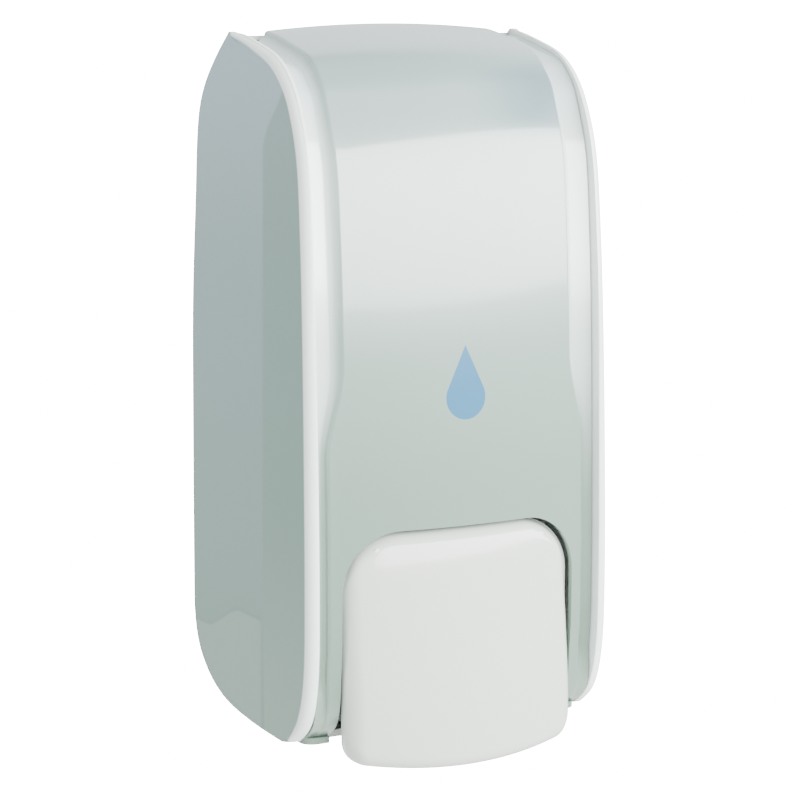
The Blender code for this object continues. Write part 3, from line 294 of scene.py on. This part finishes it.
def node(tree, kind, settings=None, links=None):
    """Adds a node: settings are its properties and unlinked inputs, links its inputs fed by other sockets."""
    made = tree.nodes.new(kind)
    for key, value in (settings or {}).items():
        if isinstance(key, str) and hasattr(made, key):
            setattr(made, key, value)
        else:
            made.inputs[key].default_value = value
    for key, socket in (links or {}).items():
        tree.links.new(socket, made.inputs[key])
    return made


def new_finish(name, colour, roughness, **sockets):
    """A plain finish, where an underscore in a socket's name stands for a space."""
    made = bpy.data.materials.new(name)
    made.use_nodes = True
    shader = made.node_tree.nodes["Principled BSDF"]
    shader.inputs["Base Color"].default_value = linear(colour)
    shader.inputs["Roughness"].default_value = roughness
    for key, value in sockets.items():
        shader.inputs[key.replace("_", " ")].default_value = value
    return made, made.node_tree, shader


def ramp(tree, factor, stops):
    """A smooth colour ramp through (position, hex colour) stops."""
    made = node(tree, "ShaderNodeValToRGB", links={0: factor})
    made.color_ramp.interpolation = "EASE"
    elements = made.color_ramp.elements
    while len(elements) < len(stops):
        elements.new(0.5)
    for element, (position, colour) in zip(elements, stops):
        element.position = position
        element.color = linear(colour)
    return made.outputs[0]


def mould_texture(tree, shader, grain_mm, depth_mm, waviness=0.0):
    """A very slight moulded surface: fine grain and, if asked, the slow waves of a large flat moulding."""
    where = node(tree, "ShaderNodeTexCoord").outputs["Object"]
    fine = node(tree, "ShaderNodeTexNoise", {"Scale": 1000.0 / grain_mm, "Detail": 3.0}, {"Vector": where})
    height = fine.outputs["Fac"]
    bump = node(tree, "ShaderNodeBump", {"Strength": 0.35, "Distance": depth_mm * MM}, {"Height": height})
    if waviness:
        slow = node(tree, "ShaderNodeTexNoise", {"Scale": 22.0, "Detail": 1.0}, {"Vector": where})
        bump = node(tree, "ShaderNodeBump", {"Strength": 1.0, "Distance": waviness * MM},
                    {"Height": slow.outputs["Fac"], "Normal": bump.outputs[0]})
    tree.links.new(bump.outputs[0], shader.inputs["Normal"])
    return where


def math_node(tree, operation, first, second, third=0.0):
    """One arithmetic step, where each value is a number or a socket."""
    values = {0: first, 1: second, 2: third}
    numbers = {key: value for key, value in values.items() if isinstance(value, (int, float))}
    sockets = {key: value for key, value in values.items() if key not in numbers}
    return node(tree, "ShaderNodeMath", {"operation": operation, **numbers}, sockets).outputs[0]


def eased(tree, value, from_low, from_high, low=0.0, high=1.0):
    """A value moved smoothly from low to high as the input goes through its own range."""
    settings = {"interpolation_type": "SMOOTHSTEP", "From Min": from_low, "From Max": from_high,
                "To Min": low, "To Max": high}
    return node(tree, "ShaderNodeMapRange", settings, {"Value": value}).outputs[0]


def mixed(tree, factor, first, second):
    """A colour between two, each given as a hex code or a socket."""
    sides = {6: first, 7: second}
    codes = {key: linear(value) for key, value in sides.items() if isinstance(value, str)}
    sockets = {key: value for key, value in sides.items() if key not in codes}
    return node(tree, "ShaderNodeMix", {"data_type": "RGBA", **codes}, {0: factor, **sockets}).outputs[2]


def measured(tree, where):
    """x, depth and height in millimetres, and the height as a share of the housing's."""
    split = node(tree, "ShaderNodeSeparateXYZ", links={0: where})
    across = math_node(tree, "MULTIPLY", split.outputs["X"], 1000.0)
    depth = math_node(tree, "MULTIPLY", split.outputs["Y"], -1000.0)
    height = math_node(tree, "MULTIPLY_ADD", split.outputs["Z"], 1000.0, FACE_HEIGHT / MM)
    return across, depth, height, math_node(tree, "DIVIDE", height, HOUSING_TOP / MM)


def cheek_finish():
    """Moulded translucent ABS with a deep gloss. Its colour carries painted reflection and shade on the side, lighter
    where the inner tray shows through, and a painted light on the front lip.
    """
    made, tree, shader = new_finish("translucent_abs_cheek", "8A9C9E", 0.22, Coat_Weight=0.3, Coat_Roughness=0.06)
    where = mould_texture(tree, shader, 1.2, 0.004, 0.02)
    _, depth, height, tall = measured(tree, where)
    # Painted reflection and shade: the side's tone changes with height and at the tray's front edge, which leans
    # forward near the top, and its foot ends in a slow wave
    past = math_node(tree, "SUBTRACT", depth, eased(tree, height, 226.0, 256.0, 66.5, 86.0))
    behind = ramp(tree, tall, [(0.0, "73887F"), (0.3, "758E88"), (0.62, "798F91"), (1.0, "8EA3AA")])
    ahead = ramp(tree, tall, [(0.0, "80958B"), (0.35, "6D877F"), (0.7, "6B8581"), (1.0, "78908D")])
    tone = mixed(tree, eased(tree, past, -1.4, 1.4), behind, ahead)
    # Painted reflection: a darker band just above the wave at the tray's foot, and a lighter area under it
    below = math_node(tree, "SUBTRACT", eased(tree, depth, 12.0, 46.0, 32.0, 43.8), height)
    inside = eased(tree, depth, 62.0, 66.0, 1.0, 0.0)
    foot = math_node(tree, "MULTIPLY", eased(tree, below, -0.5, 0.7), inside)
    rim = math_node(tree, "MULTIPLY", eased(tree, below, -2.6, -0.2), math_node(tree, "SUBTRACT", inside, foot))
    tone = mixed(tree, math_node(tree, "MULTIPLY", rim, 0.55), tone, "6D837E")
    tone = mixed(tree, math_node(tree, "MULTIPLY", foot, 0.7), tone, "879B94")
    # Painted light: the thick front lip is painted near white, as if lit through, against the darker side
    lip = node(tree, "ShaderNodeAttribute", {"attribute_name": "lip"}).outputs["Fac"]
    tree.links.new(mixed(tree, lip, tone, "F4F8F6"), shader.inputs["Base Color"])
    return made


def cover_finish():
    """Frosted pearl ABS moulding, with painted light and shade in its colour: a painted highlight band across the
    shoulders, and painted reflection and shade up the panel.
    """
    made, tree, shader = new_finish("pearl_abs_cover", "B4C4C1", 0.16, Specular_IOR_Level=0.8, Coat_Weight=0.5,
                                     Coat_Roughness=0.05)
    where = mould_texture(tree, shader, 1.0, 0.003)
    across, depth, height, tall = measured(tree, where)
    # Painted light and shade up the panel: darker at the foot, a painted reflection lightest four fifths up, and a
    # darker painted band under the top bend
    panel = ramp(tree, tall, [(0.0, "768A7D"), (0.33, "7A8F83"), (0.55, "84998F"), (0.66, "94A8A2"), (0.8, "A6B8B2"),
                              (0.9, "8FA3A0"), (1.0, "899C9A")])
    # Painted reflection: a dark bluish patch high on the right half of the panel
    corner = math_node(tree, "MULTIPLY", eased(tree, across, 2.0, 46.0), eased(tree, height, 226.0, 240.0))
    corner = math_node(tree, "MULTIPLY", corner, eased(tree, height, 252.0, 262.0, 1.0, 0.0))
    panel = mixed(tree, math_node(tree, "MULTIPLY", corner, 0.8), panel, "5F7882")
    # Painted highlight and shade on the shoulders: dark low down, with a bright band about two thirds up
    shoulder_light_and_shade = ramp(tree, tall, [(0.0, "7A8E80"), (0.3, "8CA195"), (0.55, "C8D6D0"), (0.7, "E9F2EF"),
                                 (1.0, "CAD8D6")])
    beyond = math_node(tree, "SUBTRACT", math_node(tree, "ABSOLUTE", across, 0.0),
                       eased(tree, height, WAIST_BOTTOM / MM, WAIST_TOP / MM, PANEL_LOWER_HALF / MM,
                             PANEL_UPPER_HALF / MM))
    tone = mixed(tree, eased(tree, beyond, -0.8, 3.2), panel, shoulder_light_and_shade)
    tree.links.new(mixed(tree, drop_mark(tree, across, depth, height), tone, "2F6E93"), shader.inputs["Base Color"])
    return made


def drop_mark(tree, across, depth, height):
    """A plain printed water drop on the panel's outer face, as a share from 0 to 1."""
    radius, tip, middle = 8.5, 20.0, 133.0
    slope = radius / math.sqrt(tip**2 - radius**2)
    rise = math_node(tree, "SUBTRACT", height, middle)
    wide = math_node(tree, "ABSOLUTE", across, 0.0)
    square = math_node(tree, "MULTIPLY_ADD", rise, rise, math_node(tree, "MULTIPLY", wide, wide))
    reach = math_node(tree, "SQRT", square, 0.0)
    bowl = eased(tree, reach, radius - 0.15, radius + 0.15, 1.0, 0.0)
    side = math_node(tree, "ADD", wide, math_node(tree, "MULTIPLY_ADD", rise, slope, -tip * slope))
    point = eased(tree, side, -0.15, 0.15, 1.0, 0.0)
    point = math_node(tree, "MULTIPLY", point, math_node(tree, "GREATER_THAN", rise, radius**2 / tip))
    outer_face = eased(tree, depth, 107.0, 107.6)
    return math_node(tree, "MULTIPLY", math_node(tree, "MAXIMUM", bowl, point), outer_face)


def lever_finish():
    """Injection moulded opaque white ABS with a polished face."""
    made, tree, shader = new_finish("polished_white_abs", "CFD6CD", 0.14, Coat_Weight=0.4, Coat_Roughness=0.05)
    mould_texture(tree, shader, 1.1, 0.003)
    return made


def plain_moulding(name, colour, roughness, grain_mm, variation="ECECEC"):
    """Moulded plastic or rubber with a fine grain and slow, slight clouds in its colour."""
    made, tree, shader = new_finish(name, colour, roughness)
    where = mould_texture(tree, shader, grain_mm, 0.02)
    cloud = node(tree, "ShaderNodeTexNoise", {"Scale": 30.0, "Detail": 2.0}, {"Vector": where})
    shade = node(tree, "ShaderNodeMix", {"data_type": "RGBA", "blend_type": "MULTIPLY", 6: linear(colour),
                                         7: linear(variation)}, {0: cloud.outputs["Fac"]})
    tree.links.new(shade.outputs[2], shader.inputs["Base Color"])
    return made


def bright_metal(name, colour, roughness):
    """Drawn or plated metal with a very fine grain."""
    made, tree, shader = new_finish(name, colour, roughness, Metallic=1.0)
    mould_texture(tree, shader, 0.5, 0.01)
    return made


CHEEK = cheek_finish()
COVER = cover_finish()
LEVER = lever_finish()
SHELL = plain_moulding("white_abs_tray", "D8DAD6", 0.42, 0.6)
CARRIER = plain_moulding("grey_glass_filled_nylon", "7C8285", 0.5, 0.4)
TANK = plain_moulding("natural_polypropylene_tank", "DDE1DC", 0.38, 0.8)
PUMP = plain_moulding("white_acetal_pump", "E6E5E0", 0.28, 0.8)
RUBBER = plain_moulding("black_nitrile_rubber", "1E1F20", 0.65, 0.3, "D0D0D0")
SPRING = bright_metal("drawn_stainless_wire", "B9BBBD", 0.28)
FASTENER = bright_metal("zinc_plated_steel", "C2C3C4", 0.32)
LOCK = bright_metal("nickel_plated_brass", "D2CFC9", 0.18)


def dress(finish, *names):
    """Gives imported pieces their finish."""
    for name in names:
        obj = nodes[name]
        obj.data.materials.clear()
        obj.data.materials.append(finish)


dress(SHELL, "back_shell")
dress(CARRIER, "pump_carrier")
dress(TANK, "reservoir", "reservoir_lid")
dress(PUMP, "pump_body", "pump_end_cap", "pump_piston", "spout")
dress(RUBBER, "piston_seal", "outlet_valve", "spigot_gasket")
dress(SPRING, "pump_spring", "inlet_ball")
dress(LOCK, "lock_barrel", "lock_nut", "lock_cam")
dress(FASTENER, "lever_pivot_rod", "pivot_ring_left", "pivot_ring_right", "cover_hinge_pin_left",
      "cover_hinge_pin_right", *(name for name in nodes if "screw" in name))


# Cheeks

def cheek_face(height):
    """How far the cheek's outer face is from the middle: it leans in a little toward the top."""
    lean = max(0.0, height / HOUSING_TOP - 0.15) ** 1.6 * 1.3
    return CHEEK_HALF_WIDTH - CHEEK_TOP_NARROWING * lean


def cheek(side, name):
    """One side panel, as equal rings round its section from the top tip to the bottom."""
    front = relaxed(smooth_path(FRONT_EDGE, CHEEK_STATIONS), 12)
    rear = relaxed(smooth_path(REAR_EDGE, CHEEK_STATIONS), 6)
    rings = []
    for ahead, behind in zip(front, rear):
        behind.x = max(0.0, behind.x)
        across = ahead - behind
        inward = -across.normalized()
        radius = min(LIP_RADIUS, 0.42 * across.length)
        rear_radius = min(REAR_EDGE_RADIUS, 0.08 * across.length)
        ring = [(CHEEK_INNER_FACE, behind), (cheek_face(behind.y) - rear_radius, behind)]
        spot = behind - inward * rear_radius
        ring.append((cheek_face(spot.y), spot))
        room = across.length - radius - rear_radius
        for share in (0.04, 0.12, 0.24, 0.4, 0.58, 0.74):
            spot = behind - inward * (rear_radius + room * share)
            ring.append((cheek_face(spot.y), spot))
        for step in LIP_STEPS:
            spot = ahead + inward * (radius + min(step * MM, room * (0.24 - step / 50)))
            ring.append((cheek_face(spot.y), spot))
        for turn in range(0, 91, 10):
            angle = math.radians(turn)
            spot = ahead + inward * radius * (1 - math.sin(angle))
            ring.append((cheek_face(spot.y) - radius * (1 - math.cos(angle)), spot))
        for turn in (0, 45, 90):
            angle = math.radians(turn)
            small = min(INNER_EDGE_RADIUS, 0.2 * across.length)
            spot = ahead + inward * small * (1 - math.cos(angle))
            ring.append((CHEEK_INNER_FACE + small * (1 - math.sin(angle)), spot))
        rings.append([place(side * x, spot.x, spot.y) for x, spot in ring])
    bm = bmesh.new()
    grid_of(bm, [[*ring, ring[0]] for ring in rings])
    bmesh.ops.remove_doubles(bm, verts=bm.verts, dist=MERGE_DISTANCE)
    bmesh.ops.holes_fill(bm, edges=[edge for edge in bm.edges if edge.is_boundary], sides=0)
    steps = []
    for height in CHEEK_SCREW_HEIGHTS:
        reach = sorted((side * (CHEEK_SCREW_X - SCREW_BOSS_REACH), side * (CHEEK_INNER_FACE + UNSEEN)))
        boss = box_helper("boss", reach, SCREW_BOSS_DEPTHS,
                          (height - SCREW_BOSS_HALF_HEIGHT, height + SCREW_BOSS_HALF_HEIGHT))
        ends = [place(side * CHEEK_SCREW_X, depth, height) for depth in SCREW_BORE_DEPTHS]
        steps += [("UNION", boss), ("DIFFERENCE", rod_helper("bore", SCREW_BORE_RADIUS, *ends, 24))]
    boss = hinge_rod("hinge_boss", side, EAR_RADIUS, HINGE_BOSS_FACES, 48)
    bore = hinge_rod("hinge_bore", side, PIN_HOLE, HINGE_BORE_FACES, 36)
    steps += [("UNION", boss), ("DIFFERENCE", bore)]
    mesh = carved(name, bm, steps)
    lip_mark(mesh, front, side)
    finished(name, mesh, "housing", "cheek_plastic", CHEEK, name.replace("_panel", ""))


def hinge_rod(name, side, radius, faces, sides):
    """A rod on the cover's hinge axis, between two distances from the middle in millimetres."""
    start, end = (place(side * x * MM, *COVER_HINGE) for x in faces)
    return rod_helper(name, radius, start, end, sides)


def lip_mark(mesh, front, side):
    """Stores how far each point belongs to the thick front lip, from 0 to 1, on a finer mesh near the lip; the
    cheek's colour paints the lip's light with it.
    """
    near = kdtree.KDTree(len(front) * 8)
    for i, (first, second) in enumerate(zip(front, [*front[1:], front[-1]])):
        for part in range(8):
            near.insert((*first.lerp(second, part / 8), 0.0), i)
    near.balance()

    def gap_at(vert):
        return near.find((-vert.co.y, vert.co.z + FACE_HEIGHT, 0.0))

    bm = bmesh.new()
    bm.from_mesh(mesh)
    outer = {vert for vert in bm.verts if side * vert.co.x > 62.5 * MM and 3 * MM < gap_at(vert)[2] < 9 * MM}
    edges = [edge for edge in bm.edges if outer.issuperset(edge.verts)]
    bmesh.ops.subdivide_edges(bm, edges=edges, cuts=3, use_grid_fill=True)
    bm.to_mesh(mesh)
    bm.free()
    marks = mesh.attributes.new("lip", "FLOAT", "POINT")
    last = len(front) - 1
    for index, vert in enumerate(mesh.vertices):
        _, station, gap = gap_at(vert)
        share = station / last
        width = min(blend(1.0, 3.4, share / 0.16), blend(1.6, 3.4, (1 - share) / 0.06)) * MM
        marks.data[index].value = blend(1.0, 0.0, (gap - width) / (1.2 * MM))


cheek(-1, "left_cheek_panel")
cheek(1, "right_cheek_panel")


# Cover

def cover_section(height, inset):
    """(x, distance inside the lip) across one section of the cover."""
    toward_top = (height - TOP_BEND[0]) / (TOP_BEND[1] - TOP_BEND[0])
    upper = (height - WAIST_BOTTOM) / (WAIST_TOP - WAIST_BOTTOM)
    panel = blend(PANEL_LOWER_HALF, PANEL_UPPER_HALF, upper) - inset
    sag = blend(*PANEL_SAG, toward_top)
    drop = blend(*SHOULDER_DROP, toward_top)
    foot = panel + blend(*STEP_SLANT, upper)
    soft = PANEL_EDGE_RADIUS
    half = []
    for share in (0.06, 0.13, 0.2, 0.28, 0.36, 0.44, 0.52, 0.6, 0.68, 0.76, 0.83, 0.89, 0.94):
        x = (panel - soft) * share
        half.append((x, sag * (x / PANEL_UPPER_HALF) ** 2 - PANEL_RISE))
    # The panel's edge is rounded into the step down to the shoulder
    edge = sag * ((panel - soft) / PANEL_UPPER_HALF) ** 2 - PANEL_RISE
    for turn in range(0, 91, 15):
        angle = math.radians(turn)
        half.append((panel - soft + soft * math.sin(angle), edge + soft * (1 - math.cos(angle))))
    low = drop + SHOULDER_VALLEY
    start = half[-1][1]
    half.append((blend(panel, foot, 0.35), start + (low - start) * 0.35))
    half.append((blend(panel, foot, 0.75), start + (low - start) * 0.72))
    half.append((foot, low - 0.25 * MM))
    half.append((foot + 0.5 * MM, low))
    for share in (0.3, 0.6, 0.85, 1.0):
        x = foot + 0.5 * MM + (COVER_HALF_WIDTH - foot - 0.5 * MM) * share
        half.append((x, low - SHOULDER_VALLEY * share**1.2))
    tuck_low, tuck_high = LEG_TUCK_HEIGHTS
    relief = blend(LEG_TUCK, 1.0, (height - tuck_low) / (tuck_high - tuck_low))
    half = [(x, offset * relief) for x, offset in half]
    return [(-x, offset) for x, offset in reversed(half)] + [(0.0, -PANEL_RISE * relief)] + half


def cover_surface(inset, wall):
    """The cover's sections from the top to the foot, at a distance under its outer face."""
    path = relaxed(smooth_path([*FRONT_EDGE, COVER_TAIL], COVER_STATIONS), 4)
    rows = []
    for point, normal in zip(path, inward_normals(path)):
        row = []
        for x, offset in cover_section(point.y, inset):
            spot = point + normal * (offset + wall)
            row.append(place(x, spot.x, max(spot.y, COVER_BOTTOM)))
        rows.append(row)
    return rows


def arch_outline():
    """The opening that the lever stands in, open at the bottom."""
    half = LEVER_HALF_WIDTH + LEVER_GAP
    top = LEVER_TOP + LEVER_GAP
    radius = LEVER_TOP_RADIUS + LEVER_GAP
    spots = [(-half, -20 * MM), (half, -20 * MM)]
    for turn in range(0, 91, 5):
        angle = math.radians(turn)
        spots.append((half - radius + radius * math.cos(angle), top - radius + radius * math.sin(angle)))
    for turn in range(90, 181, 5):
        angle = math.radians(turn)
        spots.append((radius - half + radius * math.cos(angle), top - radius + radius * math.sin(angle)))
    return [place(x, 60 * MM, height) for x, height in spots]


def foot_outline(side):
    """The flat foot under one leg of the cover, seen from above."""
    half = LEVER_HALF_WIDTH + LEVER_GAP
    spots = [(half, FOOT_REAR), (COVER_HALF_WIDTH, FOOT_REAR)]
    for turn in range(0, 91, 6):
        angle = math.radians(turn)
        spots.append((COVER_HALF_WIDTH - FOOT_CORNER * (1 - math.cos(angle)),
                      FOOT_FRONT - FOOT_CORNER * (1 - math.sin(angle))))
    spots.append((half, FOOT_FRONT))
    return [place(side * x, depth, COVER_BOTTOM) for x, depth in spots]


def cover():
    bm = bmesh.new()
    outside = border_of(grid_of(bm, cover_surface(0.0, 0.0)))
    inside = border_of(grid_of(bm, cover_surface(2 * MM, WALL)))
    for i, corner in enumerate(outside):
        bm.faces.new((corner, inside[i], inside[i - 1], outside[i - 1]))
    steps = [("DIFFERENCE", prism_helper("arch", arch_outline(), Vector((0, -70 * MM, 0))))]
    for side in (-1, 1):
        reach = sorted(side * x * MM for x in EAR_FACES)
        web = box_helper("web", reach, (COVER_HINGE[0], EAR_WEB_FRONT), EAR_WEB_HEIGHTS)
        steps += [("UNION", prism_helper("foot", foot_outline(side), Vector((0, 0, FOOT_HEIGHT)))),
                  ("UNION", hinge_rod("ear", side, EAR_RADIUS, EAR_FACES, 48)),
                  ("UNION", web),
                  ("DIFFERENCE", hinge_rod("ear_bore", side, PIN_HOLE, EAR_BORE_FACES, 36))]
    keeper = box_helper("keeper", (-KEEPER_HALF_WIDTH, KEEPER_HALF_WIDTH), KEEPER_DEPTHS, KEEPER_HEIGHTS)
    steps.append(("UNION", keeper))
    mesh = carved("cover_moulding", bm, steps)
    finished("cover_moulding", mesh, "cover", "cover_plastic", COVER, "front_cover")


cover()


# Lever

def corner_drop(x, radius):
    """How far a rounded corner has turned in at x, in a plate of the lever's width."""
    reach = max(0.0, abs(x) - (LEVER_HALF_WIDTH - radius))
    return radius - math.sqrt(max(0.0, radius**2 - reach**2))


def lever_top(x):
    """The height of the lever's top edge."""
    return LEVER_TOP - corner_drop(x, LEVER_TOP_RADIUS)


def lever_bottom(x):
    """The height of the lever's bottom edge, which is lowest in the middle."""
    sag = LEVER_BOTTOM_SAG * (x / LEVER_HALF_WIDTH) ** 2
    return LEVER_BOTTOM + sag + corner_drop(x, LEVER_BOTTOM_RADIUS)


def lever_surface(inset):
    """A grid over the lever's front whose outermost points lie on its rear rim."""
    front_path = smooth_path(LEVER_FRONT, 80)
    half_width = LEVER_HALF_WIDTH - inset
    half = [math.sin(math.radians(turn)) for turn in range(0, 90, 2)] + [0.9998, 1.0, 1.0]
    columns = [-share for share in reversed(half[1:])] + half
    middle = [0.5 - 0.5 * math.cos(math.radians(turn)) for turn in range(3, 178, 3)]
    rises = [0.0, 0.0, 0.0004, *middle, 0.9996, 1.0, 1.0]
    rows = []
    for level, rise in enumerate(rises):
        row = []
        for index, column in enumerate(columns):
            x = column * half_width
            wide = column * LEVER_HALF_WIDTH
            low, high = lever_bottom(wide) + inset, lever_top(wide) - inset
            height = low + (high - low) * rise
            front = value_at(front_path, height) - LEVER_DOME * column**2 - inset
            radius = LEVER_INNER_RADIUS if inset else LEVER_EDGE_RADIUS
            margins = (half_width - abs(x), height - low, high - height)
            short = min(radius, math.hypot(*(max(0.0, radius - margin) for margin in margins)))
            front -= radius - math.sqrt(radius**2 - short**2)
            on_rim = level in (0, len(rises) - 1) or index in (0, len(columns) - 1)
            row.append(place(x, LEVER_REAR if on_rim else front, height))
        rows.append(row)
    return rows


def lever():
    bm = bmesh.new()
    outside = border_of(grid_of(bm, lever_surface(0.0)))
    inside = border_of(grid_of(bm, lever_surface(WALL)))
    for i, corner in enumerate(outside):
        bm.faces.new((corner, inside[i], inside[i - 1], outside[i - 1]))
    nose = rod_helper("nose", NOSE_RADIUS, place(-NOSE_HALF_WIDTH, *LEVER_NOSE), place(NOSE_HALF_WIDTH, *LEVER_NOSE))
    rib = box_helper("rib", (-RIB_HALF_WIDTH, RIB_HALF_WIDTH), (LEVER_NOSE[0], RIB_FRONT), RIB_HEIGHTS)
    steps = [("UNION", nose), ("UNION", rib)]
    for side in (-1, 1):
        low, high = sorted(side * x for x in LEVER_EAR_FACES)
        ear = rod_helper("ear", LEVER_EAR_RADIUS, place(low, *LEVER_PIVOT), place(high, *LEVER_PIVOT))
        web = box_helper("web", (low, high), (LEVER_PIVOT[0], LEVER_WEB_FRONT), LEVER_WEB_HEIGHTS)
        bore = rod_helper("bore", PIN_HOLE, place(low - 1 * MM, *LEVER_PIVOT), place(high + 1 * MM, *LEVER_PIVOT), 36)
        steps += [("UNION", ear), ("UNION", web), ("DIFFERENCE", bore)]
    mesh = carved("push_lever_moulding", bm, steps)
    finished("push_lever_moulding", mesh, "lever", "lever_plastic", LEVER, "push_lever")


lever()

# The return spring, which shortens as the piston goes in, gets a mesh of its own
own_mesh(nodes["pump_spring"])


# Camera, floor and light

ROOM_STRENGTH = 2.4
BACKDROP_STRENGTH = 24.0
FLOOR_LEVEL = -1.25
FLOOR_HALF_SIZE = 2.6


def camera():
    data = bpy.data.cameras.new("view")
    data.sensor_width = 36.0
    data.lens = 124.1
    data.clip_end = 50.0
    obj = bpy.data.objects.new("view", data)
    bpy.context.scene.collection.objects.link(obj)
    right = Vector((0.8829, -0.4695, 0.0))
    up = Vector((0.0722, 0.1358, 0.9881))
    forward = Vector((0.4639, 0.8724, -0.1538))
    turn = Matrix((right, up, -forward)).transposed().to_4x4()
    obj.matrix_world = Matrix.Translation((-0.5083, -1.0115, 0.1881)) @ turn
    bpy.context.scene.camera = obj


def stage():
    bm = bmesh.new()
    level = Matrix.Translation((0, 0, FLOOR_LEVEL))
    bmesh.ops.create_grid(bm, x_segments=2, y_segments=2, size=FLOOR_HALF_SIZE, matrix=level)
    mesh = bpy.data.meshes.new("pale_floor")
    bm.to_mesh(mesh)
    bm.free()
    floor = bpy.data.objects.new("pale_floor", mesh)
    bpy.context.scene.collection.objects.link(floor)
    # Pale matt floor paint
    mesh.materials.append(new_finish("pale_floor_paint", "F4F4F2", 0.9)[0])
    room()


def room():
    """A white room: brighter above than underneath, shaded straight overhead, and plain white behind the part."""
    world = bpy.data.worlds.new("white_room")
    world.use_nodes = True
    tree = world.node_tree
    tree.nodes.clear()
    where = node(tree, "ShaderNodeTexCoord").outputs["Generated"]
    split = node(tree, "ShaderNodeSeparateXYZ", links={0: where})
    rise = eased(tree, split.outputs["Z"], -0.5, 0.6)
    tone = ramp(tree, rise, [(0.0, "A9B0AC"), (0.45, "C4CBCA"), (1.0, "F7FAFB")])
    overhead = eased(tree, split.outputs["Z"], 0.70, 0.92)
    shaded = mixed(tree, math_node(tree, "MULTIPLY", overhead, 0.85), tone, "6C787C")
    soft = node(tree, "ShaderNodeBackground", {"Strength": ROOM_STRENGTH}, {"Color": shaded})
    seen = node(tree, "ShaderNodeBackground", {"Color": (1, 1, 1, 1), "Strength": BACKDROP_STRENGTH})
    path = node(tree, "ShaderNodeLightPath")
    both = node(tree, "ShaderNodeMixShader",
                links={0: path.outputs["Is Camera Ray"], 1: soft.outputs[0], 2: seen.outputs[0]})
    node(tree, "ShaderNodeOutputWorld", links={0: both.outputs[0]})
    bpy.context.scene.world = world


def softbox(name, azimuth, elevation, distance, size, radiance):
    """A soft rectangular light, aimed at the part from a direction given as in a plan view from the front."""
    data = bpy.data.lights.new(name, "AREA")
    data.shape = "RECTANGLE"
    data.size, data.size_y = size
    data.energy = radiance * math.pi * size[0] * size[1]
    obj = bpy.data.objects.new(name, data)
    bpy.context.scene.collection.objects.link(obj)
    turn, tilt = math.radians(azimuth), math.radians(elevation)
    toward = Vector((math.sin(turn) * math.cos(tilt), -math.cos(turn) * math.cos(tilt), math.sin(tilt)))
    obj.location = toward * distance
    obj.rotation_euler = (-toward).to_track_quat("-Z", "Y").to_euler()


camera()
stage()
softbox("window_softbox", 30, 15.5, 1.6, (2.1, 0.86), 17.0)
